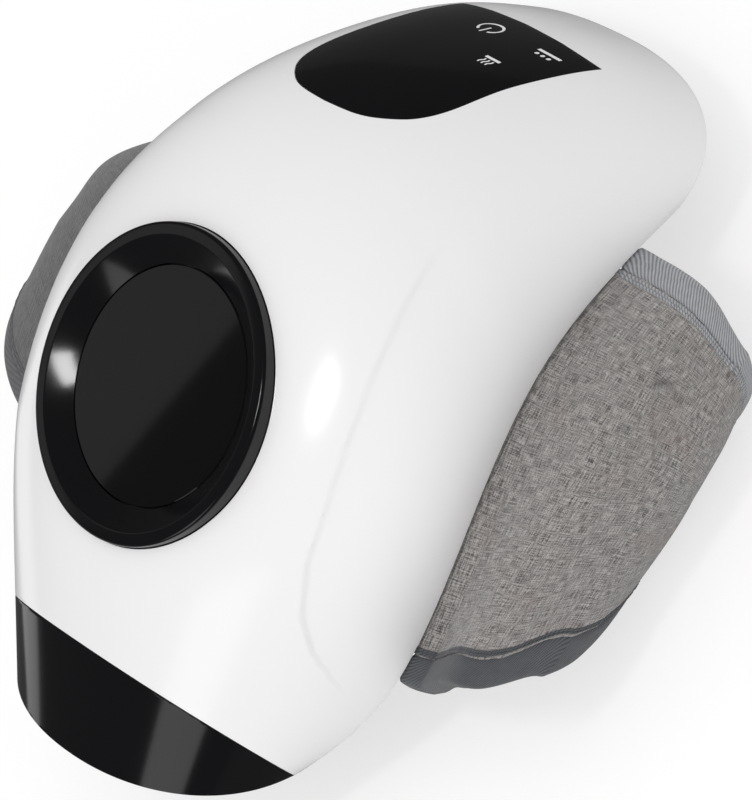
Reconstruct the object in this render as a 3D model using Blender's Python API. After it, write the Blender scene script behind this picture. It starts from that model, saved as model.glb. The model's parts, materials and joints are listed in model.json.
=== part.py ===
"""Heated knee massager, resting on a table on its two rolled fabric wings.

Metres, +Z up. -Y is the shin end with the black chin, +Y is the thigh end with the
touch panel, +X and -X are the two wings. The origin is on the table under the middle
of the bounding box.
"""
import math

import bmesh
import bpy
import numpy as np
from mathutils import Matrix, Vector

for old in list(bpy.data.objects):
    bpy.data.objects.remove(old, do_unlink=True)

MM = 0.001

# Clearances and the overrun of cuts
FIT_GAP = 0.3 * MM
SEAM_GAP = 0.35 * MM
CUT_OVER = 2.0 * MM

# The dome, the moulded cover that all else hangs from
DOME_LENGTH = 247.4 * MM
DOME_HALF_WIDTH = 80.7 * MM
DOME_CREST = 106.7 * MM
SHELL_WALL = 2.4 * MM
CREASE_STEP = 0.7 * MM
# Places along the middle line: station, then Y as a share of the length and Z of the crest
PROFILE_SHARES = ((0.00, -0.5000, 0.4705), (0.12, -0.3715, 0.6776), (0.36, -0.1790, 0.8847),
                  (0.52, 0.0166, 1.0000), (0.68, 0.2183, 0.9503), (0.84, 0.3840, 0.6373),
                  (0.93, 0.4584, 0.3918), (1.00, 0.5000, 0.1668))
# Places along the rim: station, X as a share of the half width, Y of the length, Z of the crest
RIM_SHARES = ((0.00, 0.6480, -0.3816, 0.2287), (0.25, 0.8724, -0.2607, 0.2971),
              (0.50, 1.0000, -0.0861, 0.4724), (0.75, 0.8525, 0.1310, 0.4358),
              (1.00, 0.7485, 0.3480, 0.2268))
# How square each rib is, sideways and upwards, at four stations along the dome
SQUARE_SHARES = ((0.00, 2.1, 2.3), (0.33, 2.6, 2.5), (0.66, 2.2, 2.1), (1.00, 2.4, 2.2))
CREASE_SHARES = (0.20, 0.32, 0.60, 0.72)
CREASE_PLACE_SHARE = 0.52
CREASE_WIDTH_SHARE = 0.025

# Chin, the glossy black nose piece
CHIN_REACH = 27.2 * MM
CHIN_BOW = 0.8 * MM
CHIN_SIDE_LEAST = 0.5 * MM

# Disc, the round black boss on the front of the dome
DISC_OUTER_RADIUS = 43.4 * MM
DISC_RIM_WIDTH = 3.4 * MM
DISC_FLOOR_SHARE = 0.749
DISC_PLATE_DROP = 4.6 * MM
DISC_PLATE_THICK = 1.6 * MM
DISC_BEZEL_DEPTH = 9.5 * MM
DISC_SKIRT_WALL = 2.0 * MM
# Its middle, Y as a share of the length and Z of the crest, and its slope along the dome
DISC_PLACE_SHARES = (-0.1156, 0.9278)
DISC_SLOPE_SHARE = 0.6474

# Touch panel, a bent glossy lens with pointed rear corners
PANEL_FRONT_SHARE = 0.2413
PANEL_LENGTH_SHARE = 0.1948
PANEL_WIDTH_SHARE = 0.3569
PANEL_THICK = 1.1 * MM
PANEL_SPAN_SHARES = (0.62, 0.97, 0.52)
PANEL_MARGIN_SHARE = 0.02
# Half outline from the front middle: half width as a share, and place along the length
PANEL_SHARES = ((0.00, 0.000), (0.28, 0.008), (0.52, 0.035), (0.73, 0.098), (0.87, 0.18),
                (0.95, 0.33), (0.955, 0.55), (0.98, 0.76), (1.00, 0.995), (0.90, 1.000),
                (0.50, 1.020), (0.00, 1.030))
PANEL_BACK_POINTS = 4

# Inner shell and what warms the knee
CAVITY_DEPTH = 21.0 * MM
INNER_WALL = 1.8 * MM
LIP_GAP = 0.4 * MM
INNER_SPAN_SHARES = (0.07, 0.94, 0.86)
INNER_EDGE_SHARE = 0.22
FILM_SPAN_SHARES = (0.24, 0.80, 0.44)
FILM_THICK = 0.6 * MM
LINING_SPAN_SHARES = (0.10, 0.92, 0.78)
LINING_STAND = 2.2 * MM
LINING_THICK = 5.0 * MM
LINING_DRAW_SHARE = 0.12

# Electrics
TOUCH_SPAN_SHARES = (0.74, 0.93, 0.20)
TOUCH_THICK = 0.8 * MM
BOARD_WIDTH = 44.0 * MM
BOARD_THICK = 1.6 * MM
CELL_LENGTH = 40.0 * MM
CELL_WIDTH = 25.0 * MM
CELL_THICK = 7.0 * MM
CELL_ROUND = 1.6 * MM
CELL_DEPTH = 12.0 * MM
CELL_SPACE = 4.0 * MM
CELL_STATION_SHARE = 0.66
CRADLE_LIP = 1.5 * MM
MOTOR_RADIUS = 6.0 * MM
MOTOR_LENGTH = 22.0 * MM
MOTOR_STATION_SHARE = 0.60
MOTOR_PLACE_SHARE = 0.46
SHAFT_RADIUS = 1.0 * MM
WEIGHT_BACK_SHARE = 1.2
WEIGHT_RADIUS = 5.4 * MM
WEIGHT_LENGTH = 6.0 * MM
WEIGHT_STANDOFF = 2.0 * MM
CLAMP_WALL = 1.5 * MM
CLAMP_LENGTH = 12.0 * MM
PORT_WIDTH = 9.0 * MM
PORT_HEIGHT = 3.2 * MM
PORT_DEPTH = 7.5 * MM
PORT_WALL = 0.5 * MM
PORT_SINK = 0.8 * MM
PORT_ROUND_SHARE = 0.42
TONGUE_SHARES = (0.7, 0.25)
PORT_SHARES = (0.84, -0.55)
SCREW_RADIUS = 1.3 * MM
SCREW_HEAD_RADIUS = 2.6 * MM
SCREW_HEAD_THICK = 1.6 * MM
SCREW_BITE = 5.0 * MM
POST_RADIUS = 3.2 * MM
SCREW_SHARES = ((0.31, 0.56), (0.69, 0.56))

# Wings, padded cloth that rolls under to the table
WING_SPAN_SHARES = (-0.2425, 0.2910)
# The roll's middle, X as a share of the half width and Z of the crest, and its two heights
WING_ROLL_SHARES = (1.041, 0.2812)
WING_BULGE_SHARE = 0.3532
WING_RISE_SHARE = 0.2905
WING_DROP_SHARE = 0.2859
WING_TURN_DEGREES = 196.0
WING_SQUARE_SHARES = (2.8, 2.0)
WING_STEADY_SHARE = 0.4
WING_ROOT_INSET = 1.0 * MM
WING_ROOT_GAP = 1.2 * MM
WING_CROWN = 1.4 * MM
COVER_THICK = 1.2 * MM
STIFFENER_THICK = 0.9 * MM
PADDING_THICK = 3.2 * MM
BINDING_PROUD = 0.5 * MM
BINDING_SHARE = 0.065
BINDING_SEAM = 1.0 * MM
PATCH_THICK = 0.9 * MM
PATCH_SHARES = (0.80, 0.96, 0.25, 0.75)
ROOT_HOLD_SHARE = 0.042
ROOT_FADE_SHARES = (0.25, 0.60, 0.80)
# Wing edges: share of the roll, front edge and rear edge as shares of the root's length
WING_EDGE_SHARES = ((0.00, 0.000, 1.000), (0.20, 0.070, 0.985), (0.45, 0.225, 0.925),
                    (0.70, 0.385, 0.830), (0.88, 0.430, 0.775), (1.00, 0.440, 0.760))
RETAINER_THICK = 2.0 * MM
RETAINER_SHARES = (0.90, 0.985)

# Places that follow from the sizes above
DISC_CENTRE = Vector((0, DISC_PLACE_SHARES[0] * DOME_LENGTH, DISC_PLACE_SHARES[1] * DOME_CREST))
DISC_TURN = Matrix.Rotation(math.atan2(DISC_SLOPE_SHARE * DOME_CREST, DOME_LENGTH), 3, "X")
DISC_FLOOR_RADIUS = DISC_FLOOR_SHARE * DISC_OUTER_RADIUS
PANEL_FRONT_Y = PANEL_FRONT_SHARE * DOME_LENGTH
PANEL_LENGTH = PANEL_LENGTH_SHARE * DOME_LENGTH
PANEL_HALF_WIDTH = PANEL_WIDTH_SHARE * DOME_HALF_WIDTH
WING_FRONT_Y = WING_SPAN_SHARES[0] * DOME_LENGTH
WING_REAR_Y = WING_SPAN_SHARES[1] * DOME_LENGTH
WING_ROLL_X = WING_ROLL_SHARES[0] * DOME_HALF_WIDTH
WING_ROLL_Z = WING_ROLL_SHARES[1] * DOME_CREST
WING_BULGE = WING_BULGE_SHARE * DOME_HALF_WIDTH
WING_RISE = WING_RISE_SHARE * DOME_CREST
WING_DROP = WING_DROP_SHARE * DOME_CREST
SKY = DOME_CREST + DISC_BEZEL_DEPTH
GROUND = -CUT_OVER


def spline(stations, places):
    """A natural cubic curve through the places, as a function of the station."""
    stations = np.array(stations, float)
    places = np.array(places, float)
    count = len(stations)
    step = np.diff(stations)
    matrix = np.eye(count)
    right = np.zeros_like(places)
    for i in range(1, count - 1):
        matrix[i, i - 1:i + 2] = (step[i - 1], 2 * (step[i - 1] + step[i]), step[i])
        rise = (places[i + 1] - places[i]) / step[i]
        fall = (places[i] - places[i - 1]) / step[i - 1]
        right[i] = 6 * (rise - fall)
    bend = np.linalg.solve(matrix, right)

    def at(s):
        i = int(np.clip(np.searchsorted(stations, s) - 1, 0, count - 2))
        h = step[i]
        a = (stations[i + 1] - s) / h
        b = (s - stations[i]) / h
        curve = a * places[i] + b * places[i + 1]
        return curve + ((a ** 3 - a) * bend[i] + (b ** 3 - b) * bend[i + 1]) * h * h / 6
    return at


PROFILE = spline([p[0] for p in PROFILE_SHARES],
                 [(0.0, p[1] * DOME_LENGTH, p[2] * DOME_CREST) for p in PROFILE_SHARES])
RIM = spline([r[0] for r in RIM_SHARES],
             [(r[1] * DOME_HALF_WIDTH, r[2] * DOME_LENGTH, r[3] * DOME_CREST)
              for r in RIM_SHARES])


def smooth_step(x):
    x = min(max(x, 0.0), 1.0)
    return x * x * (3 - 2 * x)


def dome_bare(u, v):
    """The dome at u along its length and v across, from -1 at one rim to 1 at the other."""
    crest = PROFILE(u)
    rim = RIM(u)
    angle = v * math.pi / 2
    across = np.interp(u, [q[0] for q in SQUARE_SHARES], [q[1] for q in SQUARE_SHARES])
    upward = np.interp(u, [q[0] for q in SQUARE_SHARES], [q[2] for q in SQUARE_SHARES])
    swing = math.copysign(abs(math.sin(angle)) ** (2 / across), v)
    lift = abs(math.cos(angle)) ** (2 / upward)
    return np.array((rim[0] * swing, rim[1] + (crest[1] - rim[1]) * lift,
                     rim[2] + (crest[2] - rim[2]) * lift))


def dome_normal(u, v):
    h = 0.004
    u0, u1 = max(u - h, 0.0), min(u + h, 1.0)
    v0, v1 = max(v - h, -1.0), min(v + h, 1.0)
    along = dome_bare(u1, v) - dome_bare(u0, v)
    across = dome_bare(u, v1) - dome_bare(u, v0)
    normal = np.cross(across, along)
    return normal / np.linalg.norm(normal)


def crease_depth(u, v):
    """The low step that runs down each flank of the cover."""
    start, full, hold, end = CREASE_SHARES
    fade = smooth_step((u - start) / (full - start)) * smooth_step((end - u) / (end - hold))
    past = (abs(v) - CREASE_PLACE_SHARE) / CREASE_WIDTH_SHARE
    out = smooth_step(past) * smooth_step((1 - abs(v)) / (1 - CREASE_PLACE_SHARE))
    return CREASE_STEP * fade * out


def dome(u, v, offset=0.0):
    return dome_bare(u, v) + dome_normal(u, v) * offset


def finish_object(name, bm, colour, roughness=0.4, metallic=0.0, smooth=True):
    bmesh.ops.remove_doubles(bm, verts=bm.verts, dist=0.002 * MM)
    bmesh.ops.recalc_face_normals(bm, faces=bm.faces)
    mesh = bpy.data.meshes.new(name)
    bm.to_mesh(mesh)
    bm.free()
    item = bpy.data.objects.new(name, mesh)
    bpy.context.scene.collection.objects.link(item)
    material = bpy.data.materials.new(name + "_finish")
    material.use_nodes = True
    shader = material.node_tree.nodes["Principled BSDF"]
    shader.inputs["Base Color"].default_value = (*colour, 1.0)
    shader.inputs["Roughness"].default_value = roughness
    shader.inputs["Metallic"].default_value = metallic
    mesh.materials.append(material)
    if smooth:
        mesh.shade_smooth()
        mesh.set_sharp_from_angle(angle=math.radians(35))
    return item


def slab(rows_out, rows_in):
    """A closed solid between two grids of points of the same size."""
    bm = bmesh.new()
    outer = [[bm.verts.new(p) for p in row] for row in rows_out]
    inner = [[bm.verts.new(p) for p in row] for row in rows_in]
    rows, cols = len(outer), len(outer[0])
    for i in range(rows - 1):
        for j in range(cols - 1):
            bm.faces.new((outer[i][j], outer[i + 1][j], outer[i + 1][j + 1], outer[i][j + 1]))
            bm.faces.new((inner[i][j], inner[i][j + 1], inner[i + 1][j + 1], inner[i + 1][j]))
    ring = ([(i, 0) for i in range(rows)] + [(rows - 1, j) for j in range(1, cols)]
            + [(i, cols - 1) for i in range(rows - 2, -1, -1)]
            + [(0, j) for j in range(cols - 2, 0, -1)])
    for k, (i, j) in enumerate(ring):
        m, n = ring[(k + 1) % len(ring)]
        bm.faces.new((outer[i][j], inner[i][j], inner[m][n], outer[m][n]))
    return bm


def skin(us, vs, top, bottom):
    """A slab of the dome, between two offsets that may change over it."""
    over = [[dome(u, v, top(u, v)) for v in vs] for u in us]
    under = [[dome(u, v, bottom(u, v)) for v in vs] for u in us]
    return slab(over, under)


def spread(low, high, count):
    return [low + (high - low) * i / (count - 1) for i in range(count)]


def prism(outline, low, high):
    """An upright prism over a plan outline."""
    bm = bmesh.new()
    base = bm.faces.new([bm.verts.new((x, y, low)) for x, y in outline])
    lifted = bmesh.ops.extrude_face_region(bm, geom=[base])
    moved = [g for g in lifted["geom"] if isinstance(g, bmesh.types.BMVert)]
    bmesh.ops.translate(bm, verts=moved, vec=(0, 0, high - low))
    return bm


def box(size, place, turn=None, rounding=0.0):
    bm = bmesh.new()
    bmesh.ops.create_cube(bm, size=1.0)
    bmesh.ops.scale(bm, verts=bm.verts, vec=size)
    if rounding:
        bmesh.ops.bevel(bm, geom=bm.edges[:], offset=rounding, segments=2, profile=0.5,
                        affect="EDGES", material=-1)
    bmesh.ops.transform(bm, verts=bm.verts, matrix=placed(place, turn))
    return bm


def placed(place, turn=None):
    return Matrix.Translation(place) @ (turn.to_4x4() if turn else Matrix.Identity(4))


def turned(outline, segments, place, turn=None):
    """A closed (radius, height) outline spun about its own Z axis, then set in place."""
    bm = bmesh.new()
    points = [bm.verts.new((radius, 0, height)) for radius, height in outline]
    edges = [bm.edges.new((points[i], points[(i + 1) % len(points)]))
             for i in range(len(points))
             if not (outline[i][0] == 0 and outline[(i + 1) % len(points)][0] == 0)]
    bmesh.ops.spin(bm, geom=points + edges, cent=(0, 0, 0), axis=(0, 0, 1),
                   angle=math.tau, steps=segments, use_merge=True)
    bmesh.ops.remove_doubles(bm, verts=bm.verts, dist=0.002 * MM)
    bmesh.ops.transform(bm, verts=bm.verts, matrix=placed(place, turn))
    return bm


def cutter(name, bm):
    item = finish_object(name, bm, (1, 0, 0), smooth=False)
    item.hide_render = True
    item.display_type = "WIRE"
    return item


def shape_by(item, other, operation):
    """A live Boolean: the other object stays as a wire guide."""
    change = item.modifiers.new(other.name, "BOOLEAN")
    change.object = other
    change.operation = operation
    change.solver = "EXACT"


def row_frame(normal, along=(1, 0, 0)):
    """The turn that takes Z to the normal and keeps X near along."""
    z = Vector(normal).normalized()
    y = z.cross(Vector(along)).normalized()
    return Matrix((y.cross(z), y, z)).transposed()


# The cover, its chin and its disc
def chin_station(v, back=0.0):
    """The station where the chin's seam, moved back, crosses a line of constant v."""
    low, high = 0.0, 0.5
    for _ in range(40):
        middle = (low + high) / 2
        x, y, _ = dome_bare(middle, v)
        seam = CHIN_REACH - DOME_LENGTH / 2 + CHIN_BOW * (x / DOME_HALF_WIDTH) ** 2 - back
        if y < seam:
            low = middle
        else:
            high = middle
    return low


def panel_outline(grow):
    """Blunt round front, drawn-in waist and two pointed rear corners."""
    steps = [i / (len(PANEL_SHARES) - 1) for i in range(len(PANEL_SHARES))]
    shape = spline(steps, PANEL_SHARES)
    tip = len(PANEL_SHARES) - PANEL_BACK_POINTS
    between = [(steps[i] + steps[i + 1]) / 2 for i in range(tip - 1)]
    middle = PANEL_FRONT_Y + PANEL_LENGTH / 2
    stretch = 1 + 2 * grow / PANEL_LENGTH
    near = []
    for s in sorted(steps + between):
        width, along = PANEL_SHARES[round(s * (len(steps) - 1))] if s in steps else shape(s)
        y = middle + (PANEL_FRONT_Y + along * PANEL_LENGTH - middle) * stretch
        near.append((width * (PANEL_HALF_WIDTH + grow), y))
    far = [(-x, y) for x, y in near[1:-1]]
    return near[::-1] + far


def cover_lines():
    """The cover's lines of constant v, closer together at the crease."""
    c, w = CREASE_PLACE_SHARE, CREASE_WIDTH_SHARE
    half = spread(0.0, c, 6) + [c + w] + spread(c + w, 0.88, 5)[1:] + [0.95, 1.0]
    return [-v for v in half[:0:-1]] + half


def cover_rows(depth):
    """The cover's places from the chin's seam back to the thigh end."""
    lines = [(v, chin_station(v)) for v in cover_lines()]
    return [[dome(start + (1 - start) * s, v,
                  -depth - crease_depth(start + (1 - start) * s, v)) for v, start in lines]
            for s in spread(0.0, 1.0, 29)]


def chin_rows(depth):
    """The chin's places, from its free edge to the seam, on the cover's own lines."""
    lines = [(v, chin_station(v, SEAM_GAP)) for v in cover_lines()
             if chin_station(v, SEAM_GAP + CHIN_SIDE_LEAST) > 0.0]
    return [[dome(end * s, v, -depth) for v, end in lines] for s in spread(0.0, 1.0, 6)]


def disc_bore(radius):
    reach = DISC_OUTER_RADIUS
    outline = [(0, -reach), (radius, -reach), (radius, reach), (0, reach)]
    return turned(outline, 48, DISC_CENTRE, DISC_TURN)


def screw_places():
    return [(u, v * side) for u, v in SCREW_SHARES for side in (-1, 1)]


def set_on_dome(bm, u, v, depth):
    """Moves a mesh made about the origin to a depth under the dome, Z along the normal."""
    turn = row_frame(dome_normal(u, v))
    bmesh.ops.transform(bm, verts=bm.verts, matrix=placed(Vector(dome(u, v, -depth)), turn))
    return bm


def rod(radius, low, high, segments=16):
    return turned([(0, low), (radius, low), (radius, high), (0, high)], segments, (0, 0, 0))


def port_body(grow, out, deep):
    bm = box((PORT_WIDTH + 2 * grow, PORT_HEIGHT + 2 * grow, out + deep),
             (0, 0, (out - deep) / 2), None)
    upright = [e for e in bm.edges if abs((e.verts[0].co - e.verts[1].co).z) > PORT_HEIGHT]
    bmesh.ops.bevel(bm, geom=upright, offset=(PORT_HEIGHT + 2 * grow) * PORT_ROUND_SHARE,
                    segments=4, profile=0.5, affect="EDGES", material=-1)
    return set_on_dome(bm, *PORT_SHARES, 0)


def panel_skin(margin, top, bottom):
    start, end, side = PANEL_SPAN_SHARES
    return skin(spread(start - margin, end + margin / 2, 14),
                spread(-side - margin, side + margin, 11),
                lambda u, v: top, lambda u, v: bottom)


def outer_shell():
    item = finish_object("outer_shell", slab(cover_rows(0.0), cover_rows(SHELL_WALL)),
                         (0.9, 0.9, 0.9), 0.12)
    bore = disc_bore(DISC_OUTER_RADIUS + FIT_GAP)
    shape_by(item, cutter("disc_cut", bore), "DIFFERENCE")
    seat = panel_skin(PANEL_MARGIN_SHARE, CUT_OVER, -PANEL_THICK - FIT_GAP)
    pocket = cutter("panel_pocket", seat)
    shape_by(pocket, cutter("panel_cut", prism(panel_outline(FIT_GAP), GROUND, SKY)),
             "INTERSECT")
    shape_by(item, pocket, "DIFFERENCE")
    hole = port_body(PORT_WALL + FIT_GAP, CUT_OVER, PORT_DEPTH)
    shape_by(item, cutter("port_cut", hole), "DIFFERENCE")
    for n, (u, v) in enumerate(screw_places()):
        shape_by(item, cutter(f"post_{n}", screw_post(u, v)), "UNION")


def screw_post(u, v):
    """A post that grows out of the wall, turned in one with its blind screw hole."""
    end = FIT_GAP - inner_depth(u, v)
    hole = SCREW_RADIUS + FIT_GAP
    blind = end + SCREW_BITE + FIT_GAP
    outline = [(0, -SHELL_WALL / 2), (POST_RADIUS, -SHELL_WALL / 2), (POST_RADIUS, end),
               (hole, end), (hole, blind), (0, blind)]
    return set_on_dome(turned(outline, 16, (0, 0, 0)), u, v, 0)


def chin_cover():
    finish_object("chin_cover", slab(chin_rows(0.0), chin_rows(SHELL_WALL)),
                  (0.01, 0.01, 0.012), 0.08)


def panel_lens():
    bm = panel_skin(0.0, 0.0, -PANEL_THICK)
    item = finish_object("control_panel_lens", bm, (0.01, 0.01, 0.012), 0.06)
    shape_by(item, cutter("panel_keep", prism(panel_outline(0.0), GROUND, SKY)), "INTERSECT")


def disc():
    """The dished bezel is one turned ring, and the plate drops on its inner step."""
    outer = DISC_OUTER_RADIUS
    step = DISC_FLOOR_RADIUS
    floor = -DISC_PLATE_DROP - DISC_PLATE_THICK - FIT_GAP
    top = outer - DISC_RIM_WIDTH
    soft = DISC_RIM_WIDTH / 4
    ring = [(outer, -DISC_BEZEL_DEPTH), (outer, -soft), (outer - soft, 0),
            (top, 0), (top - soft, -soft), (step + FIT_GAP, -DISC_PLATE_DROP),
            (step + FIT_GAP, floor), (step - DISC_SKIRT_WALL, floor),
            (step - DISC_SKIRT_WALL, floor - DISC_SKIRT_WALL),
            (outer - DISC_SKIRT_WALL, floor - DISC_SKIRT_WALL),
            (outer - DISC_SKIRT_WALL, -DISC_BEZEL_DEPTH)]
    finish_object("disc_bezel", turned(ring[::-1], 64, DISC_CENTRE, DISC_TURN),
                  (0.012, 0.012, 0.014), 0.1)
    plate = rod(step, -DISC_PLATE_DROP - DISC_PLATE_THICK, -DISC_PLATE_DROP, 64)
    bmesh.ops.transform(plate, verts=plate.verts, matrix=placed(DISC_CENTRE, DISC_TURN))
    finish_object("disc_plate", plate, (0.02, 0.02, 0.022), 0.06)


# The inner shell, the heating film and the lining
def span_edge(u, v, span):
    """How far inside a span's edge a place lies, as a share of its fading border."""
    start, end, side = span
    return min(u - start, end - u, side - abs(v)) / INNER_EDGE_SHARE


def inner_depth(u, v):
    lip = SHELL_WALL + CREASE_STEP + LIP_GAP
    return lip + (CAVITY_DEPTH - lip) * smooth_step(span_edge(u, v, INNER_SPAN_SHARES))


def span_grid(span, rows, cols):
    start, end, side = span
    return spread(start, end, rows), spread(-side, side, cols)


def inner_grid():
    return span_grid(INNER_SPAN_SHARES, 22, 21)


def inner_shell():
    bm = skin(*inner_grid(), lambda u, v: -inner_depth(u, v),
              lambda u, v: -inner_depth(u, v) - INNER_WALL)
    item = finish_object("inner_shell", bm, (0.25, 0.25, 0.26), 0.5)
    for n, (u, v) in enumerate(screw_places()):
        reach = inner_depth(u, v) + INNER_WALL + CUT_OVER
        bm = set_on_dome(rod(SCREW_RADIUS + FIT_GAP, -reach, -inner_depth(u, v) + CUT_OVER),
                         u, v, 0)
        shape_by(item, cutter(f"inner_hole_{n}", bm), "DIFFERENCE")


def within(span):
    """The inner shell's own grid lines that lie inside a span, so the faces run parallel."""
    start, end, side = span
    us, vs = inner_grid()
    return [u for u in us if start <= u <= end], [v for v in vs if abs(v) <= side]


def heating_film():
    us, vs = within(FILM_SPAN_SHARES)

    def top(u, v):
        return -inner_depth(u, v) - INNER_WALL - FIT_GAP
    bm = skin(us, vs, top, lambda u, v: top(u, v) - FILM_THICK)
    finish_object("heating_film", bm, (0.8, 0.35, 0.08), 0.5)


def knee_lining():
    us, vs = within(LINING_SPAN_SHARES)

    def top(u, v):
        return -inner_depth(u, v) - INNER_WALL - LINING_STAND

    def thickness(u, v):
        edge = span_edge(u, v, LINING_SPAN_SHARES) * INNER_EDGE_SHARE / LINING_DRAW_SHARE
        return LINING_THICK * (1 + smooth_step(edge)) / 2
    bm = skin(us, vs, top, lambda u, v: top(u, v) - thickness(u, v))
    finish_object("knee_lining", bm, (0.2, 0.2, 0.21), 0.95)


def screws():
    for n, (u, v) in enumerate(screw_places()):
        seat = -inner_depth(u, v) - INNER_WALL - FIT_GAP
        tip = SCREW_BITE - FIT_GAP - inner_depth(u, v)
        outline = [(0, seat - SCREW_HEAD_THICK), (SCREW_HEAD_RADIUS, seat - SCREW_HEAD_THICK),
                   (SCREW_HEAD_RADIUS, seat), (SCREW_RADIUS, seat), (SCREW_RADIUS, tip),
                   (0, tip)]
        bm = set_on_dome(turned(outline, 16, (0, 0, 0)), u, v, 0)
        finish_object(f"shell_screw_{n + 1}", bm, (0.6, 0.6, 0.62), 0.3, 1.0)


# The electrics between the two shells
def touch_board():
    us, vs = span_grid(TOUCH_SPAN_SHARES, 10, 7)
    top = -SHELL_WALL - FIT_GAP
    bm = skin(us, vs, lambda u, v: top, lambda u, v: top - TOUCH_THICK)
    finish_object("touch_board", bm, (0.05, 0.25, 0.12), 0.4)


def main_board():
    place = DISC_CENTRE + DISC_TURN @ Vector((0, 0, -DISC_BEZEL_DEPTH - FIT_GAP
                                              - BOARD_THICK / 2))
    corner = DISC_OUTER_RADIUS - DISC_SKIRT_WALL / 2
    bm = box((BOARD_WIDTH, 2 * corner, BOARD_THICK), place, DISC_TURN)
    finish_object("main_board", bm, (0.04, 0.22, 0.1), 0.4)


def cell_place(side):
    turn = row_frame(dome_normal(CELL_STATION_SHARE, 0))
    middle = Vector(dome(CELL_STATION_SHARE, 0, -CELL_DEPTH))
    return middle + turn @ Vector((side * (CELL_WIDTH + CELL_SPACE) / 2, 0, 0)), turn


def battery():
    for side, word in ((-1, "left"), (1, "right")):
        place, turn = cell_place(side)
        bm = box((CELL_WIDTH, CELL_LENGTH, CELL_THICK), place, turn, CELL_ROUND)
        finish_object(f"battery_cell_{word}", bm, (0.15, 0.3, 0.55), 0.35)
    middle, turn = cell_place(0)
    height = CAVITY_DEPTH - CELL_DEPTH
    centre = middle - turn @ Vector((0, 0, CELL_THICK / 2 + FIT_GAP + height / 2))
    bm = box((2 * CELL_WIDTH + CELL_SPACE + 2 * CRADLE_LIP, CELL_LENGTH + 2 * CRADLE_LIP,
              height), centre, turn)
    item = finish_object("battery_cradle", bm, (0.1, 0.1, 0.1), 0.6)
    bm = skin(*inner_grid(), lambda u, v: -inner_depth(u, v) + FIT_GAP,
              lambda u, v: -inner_depth(u, v) - height)
    shape_by(item, cutter("cradle_cut", bm), "DIFFERENCE")


def motor_place(side):
    """The motor's middle, with its shaft along Y."""
    depth = CAVITY_DEPTH - FIT_GAP * 2 - CLAMP_WALL - FIT_GAP - MOTOR_RADIUS
    return Vector(dome(MOTOR_STATION_SHARE, side * MOTOR_PLACE_SHARE, -depth))


SHAFT_TURN = Matrix.Rotation(math.radians(90), 3, "X")


def along_shaft(bm, place):
    bmesh.ops.transform(bm, verts=bm.verts, matrix=placed(place, SHAFT_TURN))
    return bm


def vibration_motors():
    half = MOTOR_LENGTH / 2
    for side, word in ((-1, "left"), (1, "right")):
        place = motor_place(side)
        bite = WEIGHT_STANDOFF / 2
        can = [(0, -half), (MOTOR_RADIUS, -half), (MOTOR_RADIUS, half),
               (SHAFT_RADIUS * 2, half), (SHAFT_RADIUS * 2, half + bite), (0, half + bite)]
        finish_object(f"vibration_motor_{word}", along_shaft(turned(can, 24, (0, 0, 0)), place),
                      (0.7, 0.7, 0.72), 0.3, 1.0)
        inner = MOTOR_RADIUS + FIT_GAP
        ring = [(inner, -CLAMP_LENGTH / 2), (inner + CLAMP_WALL, -CLAMP_LENGTH / 2),
                (inner + CLAMP_WALL, CLAMP_LENGTH / 2), (inner, CLAMP_LENGTH / 2)]
        finish_object(f"motor_clamp_{word}", along_shaft(turned(ring, 24, (0, 0, 0)), place),
                      (0.08, 0.08, 0.08), 0.6)
        eccentric_weight(word, place, half + bite + FIT_GAP)


def eccentric_weight(word, place, start):
    """A half-round weight and its stub of shaft, which spin as one."""
    arc = [math.pi * i / 12 for i in range(13)]
    outline = [(WEIGHT_RADIUS * math.cos(a), SHAFT_RADIUS / 2 - WEIGHT_RADIUS * math.sin(a))
               for a in arc]
    back = SHAFT_RADIUS * WEIGHT_BACK_SHARE
    outline += [(-SHAFT_RADIUS, back), (SHAFT_RADIUS, back)]
    bm = prism(outline, start, start + WEIGHT_LENGTH)
    empty = bpy.data.objects.new(f"weight_axis_{word}", None)
    bpy.context.scene.collection.objects.link(empty)
    empty.location = place
    empty.rotation_euler = SHAFT_TURN.to_euler()
    item = finish_object(f"eccentric_weight_{word}", bm, (0.55, 0.5, 0.4), 0.4, 1.0)
    item.parent = empty


def charge_port():
    bm = port_body(PORT_WALL, -PORT_SINK, PORT_DEPTH)
    item = finish_object("charge_port", bm, (0.6, 0.6, 0.62), 0.3, 1.0)
    hollow = port_body(0.0, CUT_OVER, PORT_DEPTH - PORT_WALL * 2)
    shape_by(item, cutter("port_hollow", hollow), "DIFFERENCE")
    wide, thick = TONGUE_SHARES
    tongue = box((PORT_WIDTH * wide, PORT_HEIGHT * thick, PORT_DEPTH - 2 * PORT_SINK),
                 (0, 0, -PORT_DEPTH / 2 - PORT_SINK / 2))
    shape_by(item, cutter("port_tongue", set_on_dome(tongue, *PORT_SHARES, 0)), "UNION")


# The two cloth wings
def rim_at(y):
    """The rim's X and Z where it crosses a plane of constant Y."""
    low, high = 0.0, 1.0
    for _ in range(40):
        middle = (low + high) / 2
        if RIM(middle)[1] < y:
            low = middle
        else:
            high = middle
    point = RIM((low + high) / 2)
    return point[0], point[2]


WING_EDGES = spline([e[0] for e in WING_EDGE_SHARES], [e[1:] for e in WING_EDGE_SHARES])


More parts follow.
